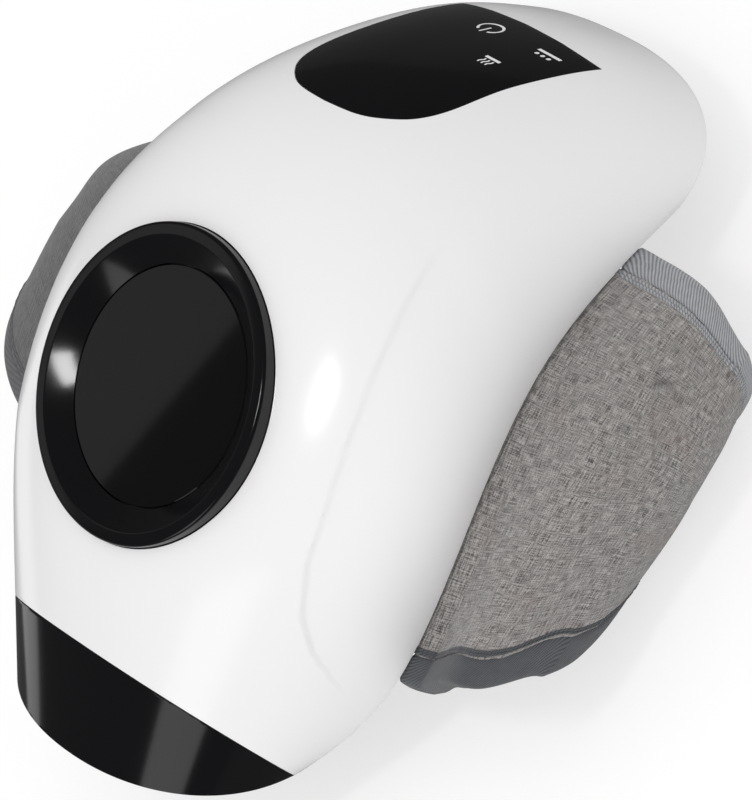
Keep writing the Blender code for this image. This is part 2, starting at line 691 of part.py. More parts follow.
def wing_line(t, w, side):
    """The wing's outer face: t round the roll, w from its front edge to its rear edge."""
    angle = math.radians(90 - WING_TURN_DEGREES * t)
    square = WING_SQUARE_SHARES[0 if angle > 0 else 1]
    rise = WING_RISE if angle > 0 else WING_DROP
    out = math.copysign(abs(math.cos(angle)) ** (2 / square), math.cos(angle)) * WING_BULGE
    up = math.copysign(abs(math.sin(angle)) ** (2 / square), math.sin(angle)) * rise
    length = WING_REAR_Y - WING_FRONT_Y
    front, rear = WING_EDGES(t)
    root_x, root_z = rim_at(WING_FRONT_Y + length * w)
    toward_rear = max((w - WING_STEADY_SHARE) / (1 - WING_STEADY_SHARE), 0.0)
    reach, more, ease = ROOT_FADE_SHARES
    past = max(t - ROOT_HOLD_SHARE, 0.0) / (reach + more * toward_rear)
    fade = max(1 - past, 0.0) ** (2 - ease * toward_rear)
    x = WING_ROLL_X + out + (root_x - WING_ROOT_INSET - WING_ROLL_X) * fade
    z = WING_ROLL_Z + up + (root_z - WING_ROOT_GAP - WING_ROLL_Z - WING_RISE) * fade
    return np.array((side * x, WING_FRONT_Y + length * (front + (rear - front) * w), z))


def wing_face(t, w, side, depth):
    """A point at a depth under the wing's outer face, flat where it meets the table."""
    h = 0.05
    along = wing_line(t + h, 0.5, side) - wing_line(max(t - h, 0.0), 0.5, side)
    normal = np.array((-along[2], 0.0, along[0])) * side
    normal /= np.linalg.norm(normal)
    turn = smooth_step((t - ROOT_HOLD_SHARE / 2) / (2 * ROOT_HOLD_SHARE))
    normal = normal * turn + np.array((0.0, 0.0, 1.0)) * (1 - turn)
    normal /= np.linalg.norm(normal)
    swell = WING_CROWN * 4 * w * (1 - w) * smooth_step(t / ROOT_FADE_SHARES[0])
    swell *= max(1 - depth / (COVER_THICK + STIFFENER_THICK + PADDING_THICK), 0.0)
    point = wing_line(t, w, side) + normal * (swell - depth)
    point[2] = max(point[2], depth)
    return point


def wing_slab(side, ts, ws, top, bottom):
    over = [[wing_face(t, w, side, top) for w in ws] for t in ts]
    under = [[wing_face(t, w, side, bottom) for w in ws] for t in ts]
    return slab(over, under)


def wing_layers(side, word):
    ts = spread(0.0, 1.0, 20)
    gap = BINDING_SEAM / (WING_REAR_Y - WING_FRONT_Y)
    ws = spread(BINDING_SHARE + gap, 1 - BINDING_SHARE - gap, 8)
    grey = (0.23, 0.22, 0.215)
    start = 0.0
    for name, thick, colour in (("outer_cover", COVER_THICK, grey),
                                ("stiffener", STIFFENER_THICK, (0.7, 0.7, 0.68)),
                                ("padding", PADDING_THICK, (0.8, 0.78, 0.7)),
                                ("inner_cover", COVER_THICK, (0.1, 0.1, 0.1))):
        bm = wing_slab(side, ts, ws, start, start + thick)
        finish_object(f"wing_{name}_{word}", bm, colour, 0.95)
        start += thick + FIT_GAP
    for name, strip in (("front", (0.0, BINDING_SHARE)), ("rear", (1 - BINDING_SHARE, 1.0))):
        bm = wing_slab(side, ts, spread(*strip, 3), 0.0, start + BINDING_PROUD)
        finish_object(f"wing_binding_{name}_{word}", bm, (0.15, 0.155, 0.165), 0.9)
    first, last, left, right = PATCH_SHARES
    bm = wing_slab(side, spread(first, last, 6), spread(left, right, 5), start,
                   start + PATCH_THICK)
    finish_object(f"wing_patch_{word}", bm, (0.05, 0.05, 0.05), 1.0)


def rim_retainer(side, word):
    """The strip that pinches the wing's root cloth to the inside of the rim."""
    us = [u for u in spread(0.0, 1.0, 41) if WING_FRONT_Y < RIM(u)[1] < WING_REAR_Y]
    vs = [v * side for v in spread(*RETAINER_SHARES, 3)]
    top = -SHELL_WALL - FIT_GAP
    bm = skin(us, vs, lambda u, v: top - crease_depth(u, v),
              lambda u, v: top - crease_depth(u, v) - RETAINER_THICK)
    finish_object(f"rim_retainer_{word}", bm, (0.12, 0.12, 0.12), 0.6)


def build():
    outer_shell()
    chin_cover()
    panel_lens()
    disc()
    inner_shell()
    heating_film()
    knee_lining()
    screws()
    touch_board()
    main_board()
    battery()
    vibration_motors()
    charge_port()
    for side, word in ((-1, "left"), (1, "right")):
        rim_retainer(side, word)
        wing_layers(side, word)


build()
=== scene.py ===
# %% [markdown]
# This lesson dresses the imported frame of a heated knee massager. The frame holds every
# piece at its real size, and this script gives the surfaces the finish that the eye meets:
# a white moulded dome, glossy black trim and grey linen wings bound with tape.

# %% Load the frame
import json
import math

import bmesh
import bpy
import numpy as np
from mathutils import Matrix, Vector, noise
from mathutils.bvhtree import BVHTree


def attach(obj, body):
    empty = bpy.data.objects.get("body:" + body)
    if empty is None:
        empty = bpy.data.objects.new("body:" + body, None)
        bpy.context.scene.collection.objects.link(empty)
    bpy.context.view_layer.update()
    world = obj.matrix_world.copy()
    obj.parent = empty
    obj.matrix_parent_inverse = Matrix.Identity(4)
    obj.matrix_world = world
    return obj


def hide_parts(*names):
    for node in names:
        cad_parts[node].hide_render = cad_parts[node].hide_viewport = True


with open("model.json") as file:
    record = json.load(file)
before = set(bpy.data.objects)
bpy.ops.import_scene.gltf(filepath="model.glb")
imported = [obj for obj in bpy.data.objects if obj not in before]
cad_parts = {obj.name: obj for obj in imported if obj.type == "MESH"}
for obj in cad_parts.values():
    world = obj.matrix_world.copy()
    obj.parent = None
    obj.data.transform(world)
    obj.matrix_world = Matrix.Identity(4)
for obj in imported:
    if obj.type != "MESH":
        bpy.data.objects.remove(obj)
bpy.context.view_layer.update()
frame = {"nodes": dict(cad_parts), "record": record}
MM = 0.001

# %% [markdown]
# The photograph was taken with a long lens from above the near wing, with the camera rolled
# so that the thigh end points up. A camera is only a place, a direction and a roll, so we
# build its matrix from two directions. A long lens far away keeps the ellipse of the disc
# true, where a short lens close by would stretch it.

# %% Camera
VIEW_CENTRE = Vector((40.05, -0.46, 63.32)) * MM
VIEW_BACK = Vector((0.6794, -0.0378, 0.7328)).normalized()
VIEW_UP = Vector((-0.3658, 0.8483, 0.3829))
CAMERA_DISTANCE = 1.2
PHOTO_HEIGHT_PX = 800
PIXEL_SIZE = 0.263 * MM
SENSOR_HEIGHT_MM = 36.0


def look_from(centre, back, up, distance):
    side = up.cross(back).normalized()
    turn = Matrix((side, back.cross(side), back)).transposed()
    return Matrix.Translation(centre + back * distance) @ turn.to_4x4()


camera_data = bpy.data.cameras.new("camera")
camera_data.sensor_fit = "VERTICAL"
camera_data.sensor_height = SENSOR_HEIGHT_MM
camera_data.lens = SENSOR_HEIGHT_MM * CAMERA_DISTANCE / (PHOTO_HEIGHT_PX * PIXEL_SIZE)
camera_data.clip_end = 20.0
camera = bpy.data.objects.new("camera", camera_data)
bpy.context.scene.collection.objects.link(camera)
camera.matrix_world = look_from(VIEW_CENTRE, VIEW_BACK, VIEW_UP, CAMERA_DISTANCE)
bpy.context.scene.camera = camera
print("lens", round(camera_data.lens, 1), "mm")

# %% [markdown]
# Shader maths reads best as ordinary expressions. A small class wraps one socket and gives it
# the operators plus, minus and times, and each expression adds the Math nodes that it
# needs. Every other node comes from one method that takes the node's type, its settings and
# the values of its sockets, so a material is a few readable lines.


# %% A small language for shader nodes
class Wire:
    """One output socket, with arithmetic."""

    def __init__(self, tree, socket):
        self.tree, self.socket = tree, socket

    def math(self, operation, *others):
        inputs = {n: value for n, value in enumerate((self, *others))}
        return self.tree.node("ShaderNodeMath", {"operation": operation}, inputs)

    def __add__(self, other):
        return self.math("ADD", other)

    def __mul__(self, other):
        return self.math("MULTIPLY", other)

    def __rsub__(self, other):
        return (self * -1.0) + other

    def smooth(self, low, high):
        settings = {"interpolation_type": "SMOOTHSTEP"}
        inputs = {"Value": self, "From Min": low, "From Max": high}
        return self.tree.node("ShaderNodeMapRange", settings, inputs)


class Finish:
    """A material whose Principled shader is fed by wires."""

    def __init__(self, name, **constants):
        self.material = bpy.data.materials.new(name)
        self.material.use_nodes = True
        self.nodes = self.material.node_tree.nodes
        self.links = self.material.node_tree.links
        self.shader = self.nodes["Principled BSDF"]
        for socket, value in constants.items():
            self.set(socket.replace("_", " "), value)

    def plug(self, socket, value):
        if isinstance(value, Wire):
            self.links.new(value.socket, socket)
        elif value is not None:
            socket.default_value = value

    def set(self, socket, value):
        self.plug(self.shader.inputs[socket], value)

    def node(self, kind, settings=None, inputs=None, output=0):
        made = self.nodes.new(kind)
        for key, value in (settings or {}).items():
            setattr(made, key, value)
        for key, value in (inputs or {}).items():
            self.plug(made.inputs[key], value)
        return Wire(self, made.outputs[output])

    def place(self, scale=(1, 1, 1), turn=(0, 0, 0)):
        """Object coordinates in millimetres, stretched and turned."""
        point = self.node("ShaderNodeTexCoord", output="Object")
        scale = tuple(s / MM for s in scale)
        return self.node("ShaderNodeMapping", None,
                         {"Vector": point, "Scale": scale, "Rotation": turn})

    def cloth_place(self, scale=(1, 1, 1), turn=0.0):
        """The piece's own cloth coordinates in millimetres."""
        point = self.node("ShaderNodeUVMap", {"uv_map": "cloth"})
        scale = tuple(s / MM for s in scale)
        return self.node("ShaderNodeMapping", None,
                         {"Vector": point, "Scale": scale, "Rotation": (0, 0, turn)})

    def grain(self, vector, scale=1.0, detail=2.0):
        return self.node("ShaderNodeTexNoise", None,
                         {"Vector": vector, "Scale": scale, "Detail": detail})

    def stripes(self, vector, per_unit, axis="X", warp=0.0):
        """Sine stripes from 0 to 1, so many to each millimetre."""
        settings = {"wave_type": "BANDS", "bands_direction": axis, "wave_profile": "SIN"}
        inputs = {"Vector": vector, "Scale": per_unit * math.tau / 20.0, "Distortion": warp}
        return self.node("ShaderNodeTexWave", settings, inputs, output="Fac")

    def blend(self, share, first, second):
        inputs = {"Factor": share, 6: first, 7: second}
        made = self.nodes.new("ShaderNodeMix")
        made.data_type = "RGBA"
        for key, value in inputs.items():
            self.plug(made.inputs[key], value)
        return Wire(self, made.outputs[2])

    def bump(self, height, depth_mm, strength=1.0):
        made = self.node("ShaderNodeBump", None, {"Height": height, "Strength": strength,
                                                   "Distance": depth_mm * MM})
        self.set("Normal", made)


def tone(red, green, blue):
    """A colour as a screen shows it, from 0 to 255, as the linear colour of a material."""
    def linear(c):
        c /= 255.0
        return c / 12.92 if c <= 0.04045 else ((c + 0.055) / 1.055) ** 2.4
    return (*(linear(c) for c in (red, green, blue)), 1.0)


print("shader language ready")

# %% [markdown]
# The dome is glossy injection-moulded plastic. A flat white with one roughness looks like
# paint on screen, so a very fine ripple in the roughness and a shallow moulding wave bend the
# highlights a little. The wave is about a hundredth of a millimetre deep, as on a real tool.


# %% Moulded plastics
def gloss_plastic(name, colour, roughness, wave_depth_mm, smudge=0.03):
    finish = Finish(name, Base_Color=colour, IOR=1.5)
    ripple = finish.grain(finish.place((0.05, 0.05, 0.05)), 1.0, 3.0)
    finish.set("Roughness", ripple * smudge + (roughness - smudge / 2))
    finish.bump(finish.grain(finish.place((0.11, 0.11, 0.11)), 1.0, 1.0), wave_depth_mm, 0.6)
    return finish.material


def satin_plastic(name, colour, roughness=0.5):
    finish = Finish(name, IOR=1.47)
    spark = finish.grain(finish.place((3.0, 3.0, 3.0)), 1.0, 3.0)
    patch = finish.grain(finish.place((0.06, 0.06, 0.06)), 1.0, 2.0)
    dark = tuple(c * 0.86 for c in colour[:3]) + (1.0,)
    finish.set("Base Color", finish.blend(patch, dark, colour))
    finish.set("Roughness", patch * 0.12 + (roughness - 0.06))
    finish.bump(spark, 0.03, 0.7)
    return finish.material


white_shell = gloss_plastic("white_shell", tone(242, 241, 242), 0.19, 0.012)
black_gloss = gloss_plastic("black_gloss", tone(16, 16, 18), 0.12, 0.006, 0.02)
black_disc = gloss_plastic("black_disc", tone(13, 13, 14), 0.05, 0.0, 0.01)
inner_plastic = satin_plastic("inner_plastic", tone(62, 62, 64))
print("plastics", white_shell.name, black_gloss.name, inner_plastic.name)

# %% [markdown]
# The wings are covered in a melange linen: light and dark threads cross over and under, and
# single threads stay light or dark for a few centimetres. So the colour is read from two long
# streaky noises, one along each thread direction, and a checker of sine waves says which of
# the two threads lies on top. The same waves give the height of the weave. The far wing's
# darker and plainer copy of the cloth, and of its front tape, is painted shade, because that
# wing lies in the shade.


# %% Cloths
def linen(name, light, middle, dark, flush, thread_mm=0.5):
    finish = Finish(name, IOR=1.45)
    finish.set("Sheen Weight", 0.25)
    finish.set("Sheen Roughness", 0.5)
    per = 1.0 / thread_mm
    flat = finish.cloth_place()
    warp = finish.stripes(flat, per / 2, "X", 0.8)
    weft = finish.stripes(flat, per / 2, "Y", 0.8)
    over = (warp * weft + (1 - warp) * (1 - weft)).smooth(0.42, 0.58)
    along = finish.grain(finish.cloth_place((0.22, 4.8, 1.0)), 1.0, 3.0).smooth(0.38, 0.62)
    across = finish.grain(finish.cloth_place((4.8, 0.22, 1.0)), 1.0, 3.0).smooth(0.38, 0.62)
    thread = (over * along + (1 - over) * across) * 0.5 + (along + across) * 0.25
    slub = finish.grain(finish.cloth_place((0.7, 0.7, 1.0)), 1.0, 4.0).smooth(0.42, 0.68)
    colour = finish.blend(thread, dark, light)
    colour = finish.blend(slub * 0.25, colour, middle)
    blush = finish.grain(finish.cloth_place((0.035, 0.035, 1.0)), 1.0, 2.0).smooth(0.5, 0.75)
    finish.set("Base Color", finish.blend(blush * 0.25, colour, flush))
    finish.set("Roughness", thread * -0.1 + 0.95)
    height = over * warp + (1 - over) * weft
    finish.bump(height * 0.7 + thread * 0.3, 0.16, 0.85)
    return finish.material


def ribbed_tape(name, light, dark, rib_mm=0.95, angle_degrees=38.0):
    """Grosgrain: raised ribs that lie at a slant, with a fine thread across them."""
    finish = Finish(name, IOR=1.45)
    finish.set("Sheen Weight", 0.2)
    slanted = finish.cloth_place((1, 1, 1), math.radians(angle_degrees))
    rib = finish.stripes(slanted, 1.0 / rib_mm, "X", 0.03)
    thread = finish.stripes(slanted, 2.6 / rib_mm, "Y", 0.1)
    wear = finish.grain(finish.cloth_place((0.5, 0.5, 1.0)), 1.0, 3.0)
    share = rib * 0.5 + thread * 0.2 + wear * 0.3
    finish.set("Base Color", finish.blend(share.smooth(0.15, 0.85), dark, light))
    finish.set("Roughness", wear * 0.1 + 0.82)
    finish.bump(rib * 0.75 + thread * 0.25, 0.14, 0.8)
    return finish.material


def knit(name, light, dark, loop_mm=0.8):
    finish = Finish(name, IOR=1.45)
    finish.set("Sheen Weight", 0.35)
    flat = finish.cloth_place()
    column = finish.stripes(flat, 1.0 / loop_mm, "X", 0.2)
    course = finish.stripes(flat, 1.4 / loop_mm, "Y", 1.2)
    fuzz = finish.grain(finish.cloth_place((0.9, 0.9, 1.0)), 1.0, 4.0)
    share = column * 0.35 + course * 0.25 + fuzz * 0.4
    finish.set("Base Color", finish.blend(share.smooth(0.2, 0.8), dark, light))
    finish.set("Roughness", fuzz * 0.1 + 0.88)
    finish.bump(column * 0.5 + course * 0.5, 0.15, 0.7)
    return finish.material


linen_cloth = linen("linen_cloth", tone(190, 186, 183), tone(112, 108, 106), tone(58, 56, 55),
                    tone(140, 116, 112))
# A darker, plainer copy of the linen for the far wing: painted shade.
shaded_linen = linen("shaded_linen", tone(128, 128, 128), tone(110, 110, 110),
                     tone(92, 92, 93), tone(104, 104, 104))
rear_tape = ribbed_tape("rear_tape", tone(180, 181, 184), tone(118, 119, 123))
# A darker, plainer copy of the tape for the far wing's front edge: painted shade.
shaded_tape = ribbed_tape("shaded_tape", tone(112, 112, 114), tone(98, 98, 100))
# The front tape is darker than the rear tape and has finer ribs; part of its darkness is painted
# shade.
front_tape = ribbed_tape("front_tape", tone(96, 98, 102), tone(60, 62, 66), 0.7, -40.0)
lining_knit = knit("lining_knit", tone(78, 78, 82), tone(38, 38, 41))
hook_tape = knit("hook_tape", tone(44, 44, 46), tone(16, 16, 17), 1.1)
print("cloths", linen_cloth.name, rear_tape.name, front_tape.name, lining_knit.name)

# %% [markdown]
# The inside of the product is plain engineering: boards, cells, motors and screws. They are
# seen only when someone opens the model, but they keep their true finish. Each is one short
# function, and the frame's own pieces take it by assigning to their material slots.


# %% Finishes of the inner pieces
def brushed_metal(name, colour, roughness=0.32):
    finish = Finish(name, Metallic=1.0, Base_Color=colour)
    line = finish.grain(finish.place((0.4, 0.4, 9.0)), 1.0, 3.0)
    finish.set("Roughness", line * 0.22 + (roughness - 0.11))
    finish.bump(line, 0.01, 0.5)
    return finish.material


def circuit_board(name):
    finish = Finish(name, IOR=1.5)
    track = finish.stripes(finish.place((0.35, 0.35, 0.35)), 1.0, "X", 5.0).smooth(0.72, 0.8)
    finish.set("Base Color", finish.blend(track, tone(14, 82, 40), tone(34, 118, 62)))
    finish.set("Roughness", track * -0.1 + 0.42)
    finish.bump(track, 0.04, 0.8)
    return finish.material


def heater_film(name):
    finish = Finish(name, IOR=1.5)
    track = finish.stripes(finish.place((0.16, 0.16, 0.16)), 1.0, "Y", 2.0).smooth(0.6, 0.7)
    finish.set("Base Color", finish.blend(track, tone(206, 132, 48), tone(96, 60, 34)))
    finish.set("Roughness", track * 0.1 + 0.3)
    finish.bump(track, 0.05, 0.7)
    return finish.material


def foam(name, colour):
    finish = Finish(name, Roughness=0.95)
    cell = finish.node("ShaderNodeTexVoronoi", None, {"Vector": finish.place(), "Scale": 1.2})
    dark = tuple(c * 0.7 for c in colour[:3]) + (1.0,)
    finish.set("Base Color", finish.blend(cell, colour, dark))
    finish.bump(cell, 0.2, 0.7)
    return finish.material


SLOT_FINISH = {
    "white_shell": white_shell,
    "black_gloss": black_gloss,
    "inner_plastic": inner_plastic,
    "heater_film": heater_film("heater_film"),
    "lining_fabric": lining_knit,
    "circuit_board": circuit_board("circuit_board"),
    "cell_wrap": satin_plastic("cell_wrap", tone(58, 92, 150), 0.35),
    "motor_steel": brushed_metal("motor_steel", tone(196, 197, 200)),
    "weight_brass": brushed_metal("weight_brass", tone(206, 176, 106), 0.4),
    "stiffener_board": satin_plastic("stiffener_board", tone(205, 205, 200), 0.6),
    "foam": foam("foam", tone(222, 216, 196)),
    "hook_tape": hook_tape,
}
for part_of in frame["record"]["subparts"]:
    finish = SLOT_FINISH.get(part_of["material_slot"])
    if finish:
        node = frame["nodes"][part_of["node"]]
        node.data.materials.clear()
        node.data.materials.append(finish)
print("slots dressed", len(SLOT_FINISH))

# %% [markdown]
# The dome is one smooth surface between two curves: the crest down the middle and the rim
# at each side. A rib joins them, more square than a circle. Both curves are splines through
# a few places, written as shares of the dome's length, half width and crest height. Working
# the surface out from u along the dome and v across it lets the shell, the chin, the lens and
# the lining all lie on the same form.

# %% The dome's form
DOME_LENGTH = 247.4 * MM
DOME_HALF_WIDTH = 80.7 * MM
DOME_CREST = 106.7 * MM
SHELL_WALL = 2.4 * MM
SEAM_GAP = 0.35 * MM
FIT_GAP = 0.3 * MM
PROFILE_SHARES = ((0.00, -0.5000, 0.4705), (0.12, -0.3715, 0.6776), (0.36, -0.1790, 0.8847),
                  (0.52, 0.0166, 1.0000), (0.68, 0.2183, 0.9503), (0.84, 0.3840, 0.6373),
                  (0.93, 0.4584, 0.3918), (1.00, 0.5000, 0.1668))
RIM_SHARES = ((0.00, 0.6480, -0.3816, 0.2287), (0.25, 0.8724, -0.2607, 0.2971),
              (0.50, 1.0000, -0.0861, 0.4724), (0.75, 0.8525, 0.1310, 0.4358),
              (1.00, 0.7485, 0.3480, 0.2268))
SQUARE_SHARES = ((0.00, 2.1, 2.3), (0.33, 2.6, 2.5), (0.66, 2.2, 2.1), (1.00, 2.4, 2.2))


def spline(stations, places):
    """A natural cubic through the places, for one station or an array of them."""
    stations, places = np.array(stations, float), np.array(places, float)
    count, step = len(stations), np.diff(stations)
    matrix, right = np.eye(count), np.zeros_like(places)
    for i in range(1, count - 1):
        matrix[i, i - 1:i + 2] = (step[i - 1], 2 * (step[i - 1] + step[i]), step[i])
        rise = (places[i + 1] - places[i]) / step[i]
        right[i] = 6 * (rise - (places[i] - places[i - 1]) / step[i - 1])
    bend = np.linalg.solve(matrix, right)

    def at(s):
        s = np.asarray(s, float)
        i = np.clip(np.searchsorted(stations, s) - 1, 0, count - 2)
        h = step[i][..., None]
        a = (stations[i + 1] - s)[..., None] / h
        b = 1 - a
        curve = a * places[i] + b * places[i + 1]
        return curve + ((a ** 3 - a) * bend[i] + (b ** 3 - b) * bend[i + 1]) * h * h / 6
    return at


PROFILE = spline([p[0] for p in PROFILE_SHARES],
                 [(0.0, p[1] * DOME_LENGTH, p[2] * DOME_CREST) for p in PROFILE_SHARES])
RIM = spline([r[0] for r in RIM_SHARES],
             [(r[1] * DOME_HALF_WIDTH, r[2] * DOME_LENGTH, r[3] * DOME_CREST)
              for r in RIM_SHARES])


def smooth_step(x):
    x = np.clip(x, 0.0, 1.0)
    return x * x * (3 - 2 * x)


def dome_bare(u, v):
    u, v = np.broadcast_arrays(np.asarray(u, float), np.asarray(v, float))
    crest, rim = PROFILE(u), RIM(u)
    angle = v * math.pi / 2
    stations = [q[0] for q in SQUARE_SHARES]
    across = np.interp(u, stations, [q[1] for q in SQUARE_SHARES])
    upward = np.interp(u, stations, [q[2] for q in SQUARE_SHARES])
    swing = np.sign(v) * np.abs(np.sin(angle)) ** (2 / across)
    lift = (np.abs(np.cos(angle)) ** (2 / upward))[..., None]
    point = rim + (crest - rim) * lift
    point[..., 0] = rim[..., 0] * swing
    return point


def dome_normal(u, v):
    h = 0.004
    along = dome_bare(np.minimum(u + h, 1), v) - dome_bare(np.maximum(u - h, 0), v)
    across = dome_bare(u, np.minimum(v + h, 1)) - dome_bare(u, np.maximum(v - h, -1))
    normal = np.cross(across, along)
    return normal / np.linalg.norm(normal, axis=-1, keepdims=True)


def dome(u, v, offset=0.0):
    return dome_bare(u, v) + dome_normal(u, v) * np.asarray(offset)[..., None]


print("crest of the dome", np.round(PROFILE(0.55), 4), "m")

# %% [markdown]
# A moulded skin starts as a flat grid, the simplest thing that bmesh creates. Every vertex is
# then moved to its place on the form, and a Solidify modifier gives the wall. Grid coordinates
# run from minus one to one, so a helper turns them into shares from nought to one, works out
# all places at once with numpy, and stores a cloth map in metres for pieces that need one.


# %% Helpers that make pieces
def to_object(name, bm, material, smooth_angle=35.0):
    mesh = bpy.data.meshes.new(name)
    bm.to_mesh(mesh)
    bm.free()
    item = bpy.data.objects.new(name, mesh)
    bpy.context.scene.collection.objects.link(item)
    mesh.materials.append(material)
    mesh.shade_smooth()
    if smooth_angle:
        mesh.set_sharp_from_angle(angle=math.radians(smooth_angle))
    return item


def grid_piece(name, columns, rows, rule, material, cloth=None, smooth_angle=0.0):
    """A grid whose vertices go where the rule says for shares s and t."""
    bm = bmesh.new()
    bmesh.ops.create_grid(bm, x_segments=columns, y_segments=rows, size=1.0)
    flat = np.array([v.co for v in bm.verts])
    s, t = (flat[:, 0] + 1) / 2, (flat[:, 1] + 1) / 2
    if cloth:
        layer = bm.loops.layers.uv.new("cloth")
        for face in bm.faces:
            for loop in face.loops:
                n = loop.vert.index
                loop[layer].uv = (t[n] * cloth[0], s[n] * cloth[1])
    for vert, place in zip(bm.verts, rule(s, t)):
        vert.co = place
    return to_object(name, bm, material, smooth_angle)


def modifier(item, kind, **settings):
    change = item.modifiers.new(kind.lower(), kind)
    for key, value in settings.items():
        setattr(change, key, value)
    return change


def wall(item, thickness, rim_round=0.0):
    """Grows a wall under the face, with its edges rounded."""
    modifier(item, "SOLIDIFY", thickness=thickness, offset=-1.0, use_even_offset=False)
    if rim_round:
        modifier(item, "BEVEL", width=rim_round, segments=3, limit_method="ANGLE",
                 angle_limit=math.radians(50), harden_normals=False)
    return item


def bake(item, smooth_angle=0.0):
    """Applies the live modifiers, so that later pieces can be fitted to the result."""
    bpy.context.view_layer.update()
    graph = bpy.context.evaluated_depsgraph_get()
    mesh = bpy.data.meshes.new_from_object(item.evaluated_get(graph))
    item.modifiers.clear()
    item.data = mesh
    mesh.shade_smooth()
    if smooth_angle:
        mesh.set_sharp_from_angle(angle=math.radians(smooth_angle))
    return item


def cut(item, bm, operation="DIFFERENCE"):
    """A Boolean with a throw-away cutter."""
    blade = to_object("blade", bm, item.data.materials[0], 0)
    modifier(item, "BOOLEAN", object=blade, operation=operation, solver="EXACT")
    bake(item, 40)
    bpy.data.objects.remove(blade, do_unlink=True)
    return item


def prism(outline, low, high):
    bm = bmesh.new()
    base = bm.faces.new([bm.verts.new((x, y, low)) for x, y in outline])
    lifted = bmesh.ops.extrude_face_region(bm, geom=[base])
    moved = [g for g in lifted["geom"] if isinstance(g, bmesh.types.BMVert)]
    bmesh.ops.translate(bm, verts=moved, vec=(0, 0, high - low))
    bmesh.ops.recalc_face_normals(bm, faces=bm.faces)
    return bm


def spun(outline, steps, place, turn):
    """A radius and height outline, from axis to axis, turned about its own Z axis."""
    bm = bmesh.new()
    points = [bm.verts.new((radius, 0, height)) for radius, height in outline]
    edges = [bm.edges.new(pair) for pair in zip(points, points[1:])]
    bmesh.ops.spin(bm, geom=points + edges, cent=(0, 0, 0), axis=(0, 0, 1),
                   angle=math.tau, steps=steps, use_merge=True)
    bmesh.ops.remove_doubles(bm, verts=bm.verts, dist=0.002 * MM)
    bmesh.ops.recalc_face_normals(bm, faces=bm.faces)
    bmesh.ops.transform(bm, verts=bm.verts, matrix=Matrix.Translation(place) @ turn.to_4x4())
    return bm


def belongs(item, body, slot, *nodes, pad=None):
    """Rides a finished piece on its body and hides the frame's pieces that it stands for."""
    if nodes:
        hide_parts(*nodes)
    if body:
        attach(item, body)
    print(item.name, len(item.data.polygons), "faces")
    return item


print("helpers ready")

# %% [markdown]
# The white cover is the largest surface, so its grid is fine and follows the chin's seam: each
# line across the dome starts where the seam is. A low step runs down each flank, curls towards
# the rim at the shin end and fades out behind. The step is part of the form, not of the
# material, so it shows in the mesh as it does in the mould. The number of lines keeps the
# finished cover under 200,000 triangles.

# %% The white cover
CHIN_REACH = 27.2 * MM
CHIN_BOW = 0.8 * MM
CREASE_STEP = 0.95 * MM
CREASE_LINE_SHARES = ((0.195, 0.97), (0.221, 0.845), (0.25, 0.715), (0.29, 0.625),
                      (0.354, 0.56), (0.475, 0.527), (0.56, 0.515), (0.70, 0.50))
CREASE_FADE_SHARES = (0.20, 0.235, 0.60, 0.71)
CREASE_WIDTH_SHARE = 0.015
CREASE_BACK_END, CREASE_BACK_REACH = 1.02, 0.42
COVER_LINES = (217, 201)
SHELL_ROUND = 0.55 * MM
DISC_RADIUS = 43.4 * MM
DISC_CENTRE = Vector((0, -28.6, 99.0)) * MM
DISC_TURN = Matrix.Rotation(math.radians(15.6), 3, "X")
DISC_DEPTH = 9.5 * MM


def chin_line(u_points):
    """Where the chin's seam crosses each line of constant v, as a station of u."""
    stations = np.linspace(0.0, 0.30, 121)
    found = []
    for v in u_points:
        points = dome_bare(stations, np.full_like(stations, v))
        seam = (-DOME_LENGTH / 2 + CHIN_REACH
                + CHIN_BOW * (points[:, 0] / DOME_HALF_WIDTH) ** 2)
        found.append(float(np.interp(0.0, points[:, 1] - seam, stations)))
    return np.array(found)


def crease(u, v):
    start, full, hold, end = CREASE_FADE_SHARES
    line = np.interp(u, [c[0] for c in CREASE_LINE_SHARES], [c[1] for c in CREASE_LINE_SHARES])
    fade = smooth_step((u - start) / (full - start)) * smooth_step((end - u) / (end - hold))
    past = smooth_step((np.abs(v) - line) / CREASE_WIDTH_SHARE + 0.5)
    back = smooth_step((CREASE_BACK_END - np.abs(v)) / CREASE_BACK_REACH)
    return CREASE_STEP * fade * past * back


def cover_rule(s, t):
    v = 2 * s - 1
    lines, place = np.unique(v, return_inverse=True)
    start = chin_line(lines)[place]
    u = start + (1 - start) * t
    return dome(u, v, -crease(u, v))


cover = grid_piece("cover_shell", *COVER_LINES, cover_rule, white_shell)
wall(cover, SHELL_WALL, SHELL_ROUND)
bake(cover)
bore = [(0, -3 * DISC_DEPTH), (DISC_RADIUS + FIT_GAP, -3 * DISC_DEPTH),
        (DISC_RADIUS + FIT_GAP, 3 * DISC_DEPTH), (0, 3 * DISC_DEPTH)]
cut(cover, spun(bore, 128, DISC_CENTRE, DISC_TURN))

# %% [markdown]
# The touch panel is a thin black lens sunk flush in the cover, so the same outline makes both:
# the lens is a piece of skin cut by the outline, and the cover gets a pocket that is a hair
# wider and deeper. The front is blunt, the flanks draw in, and the rear corners are sharp.

# %% The touch panel
PANEL_FRONT_Y = 59.7 * MM
PANEL_LENGTH = 48.2 * MM
PANEL_HALF_WIDTH = 28.8 * MM
PANEL_THICK = 1.1 * MM
PANEL_SHARES = ((0.00, 0.000), (0.28, 0.008), (0.52, 0.035), (0.73, 0.098), (0.87, 0.18),
                (0.95, 0.33), (0.955, 0.55), (0.98, 0.76), (1.00, 0.995))
PANEL_BACK_SHARES = ((0.90, 1.000), (0.50, 1.020), (0.00, 1.030))
PANEL_FINE = 8


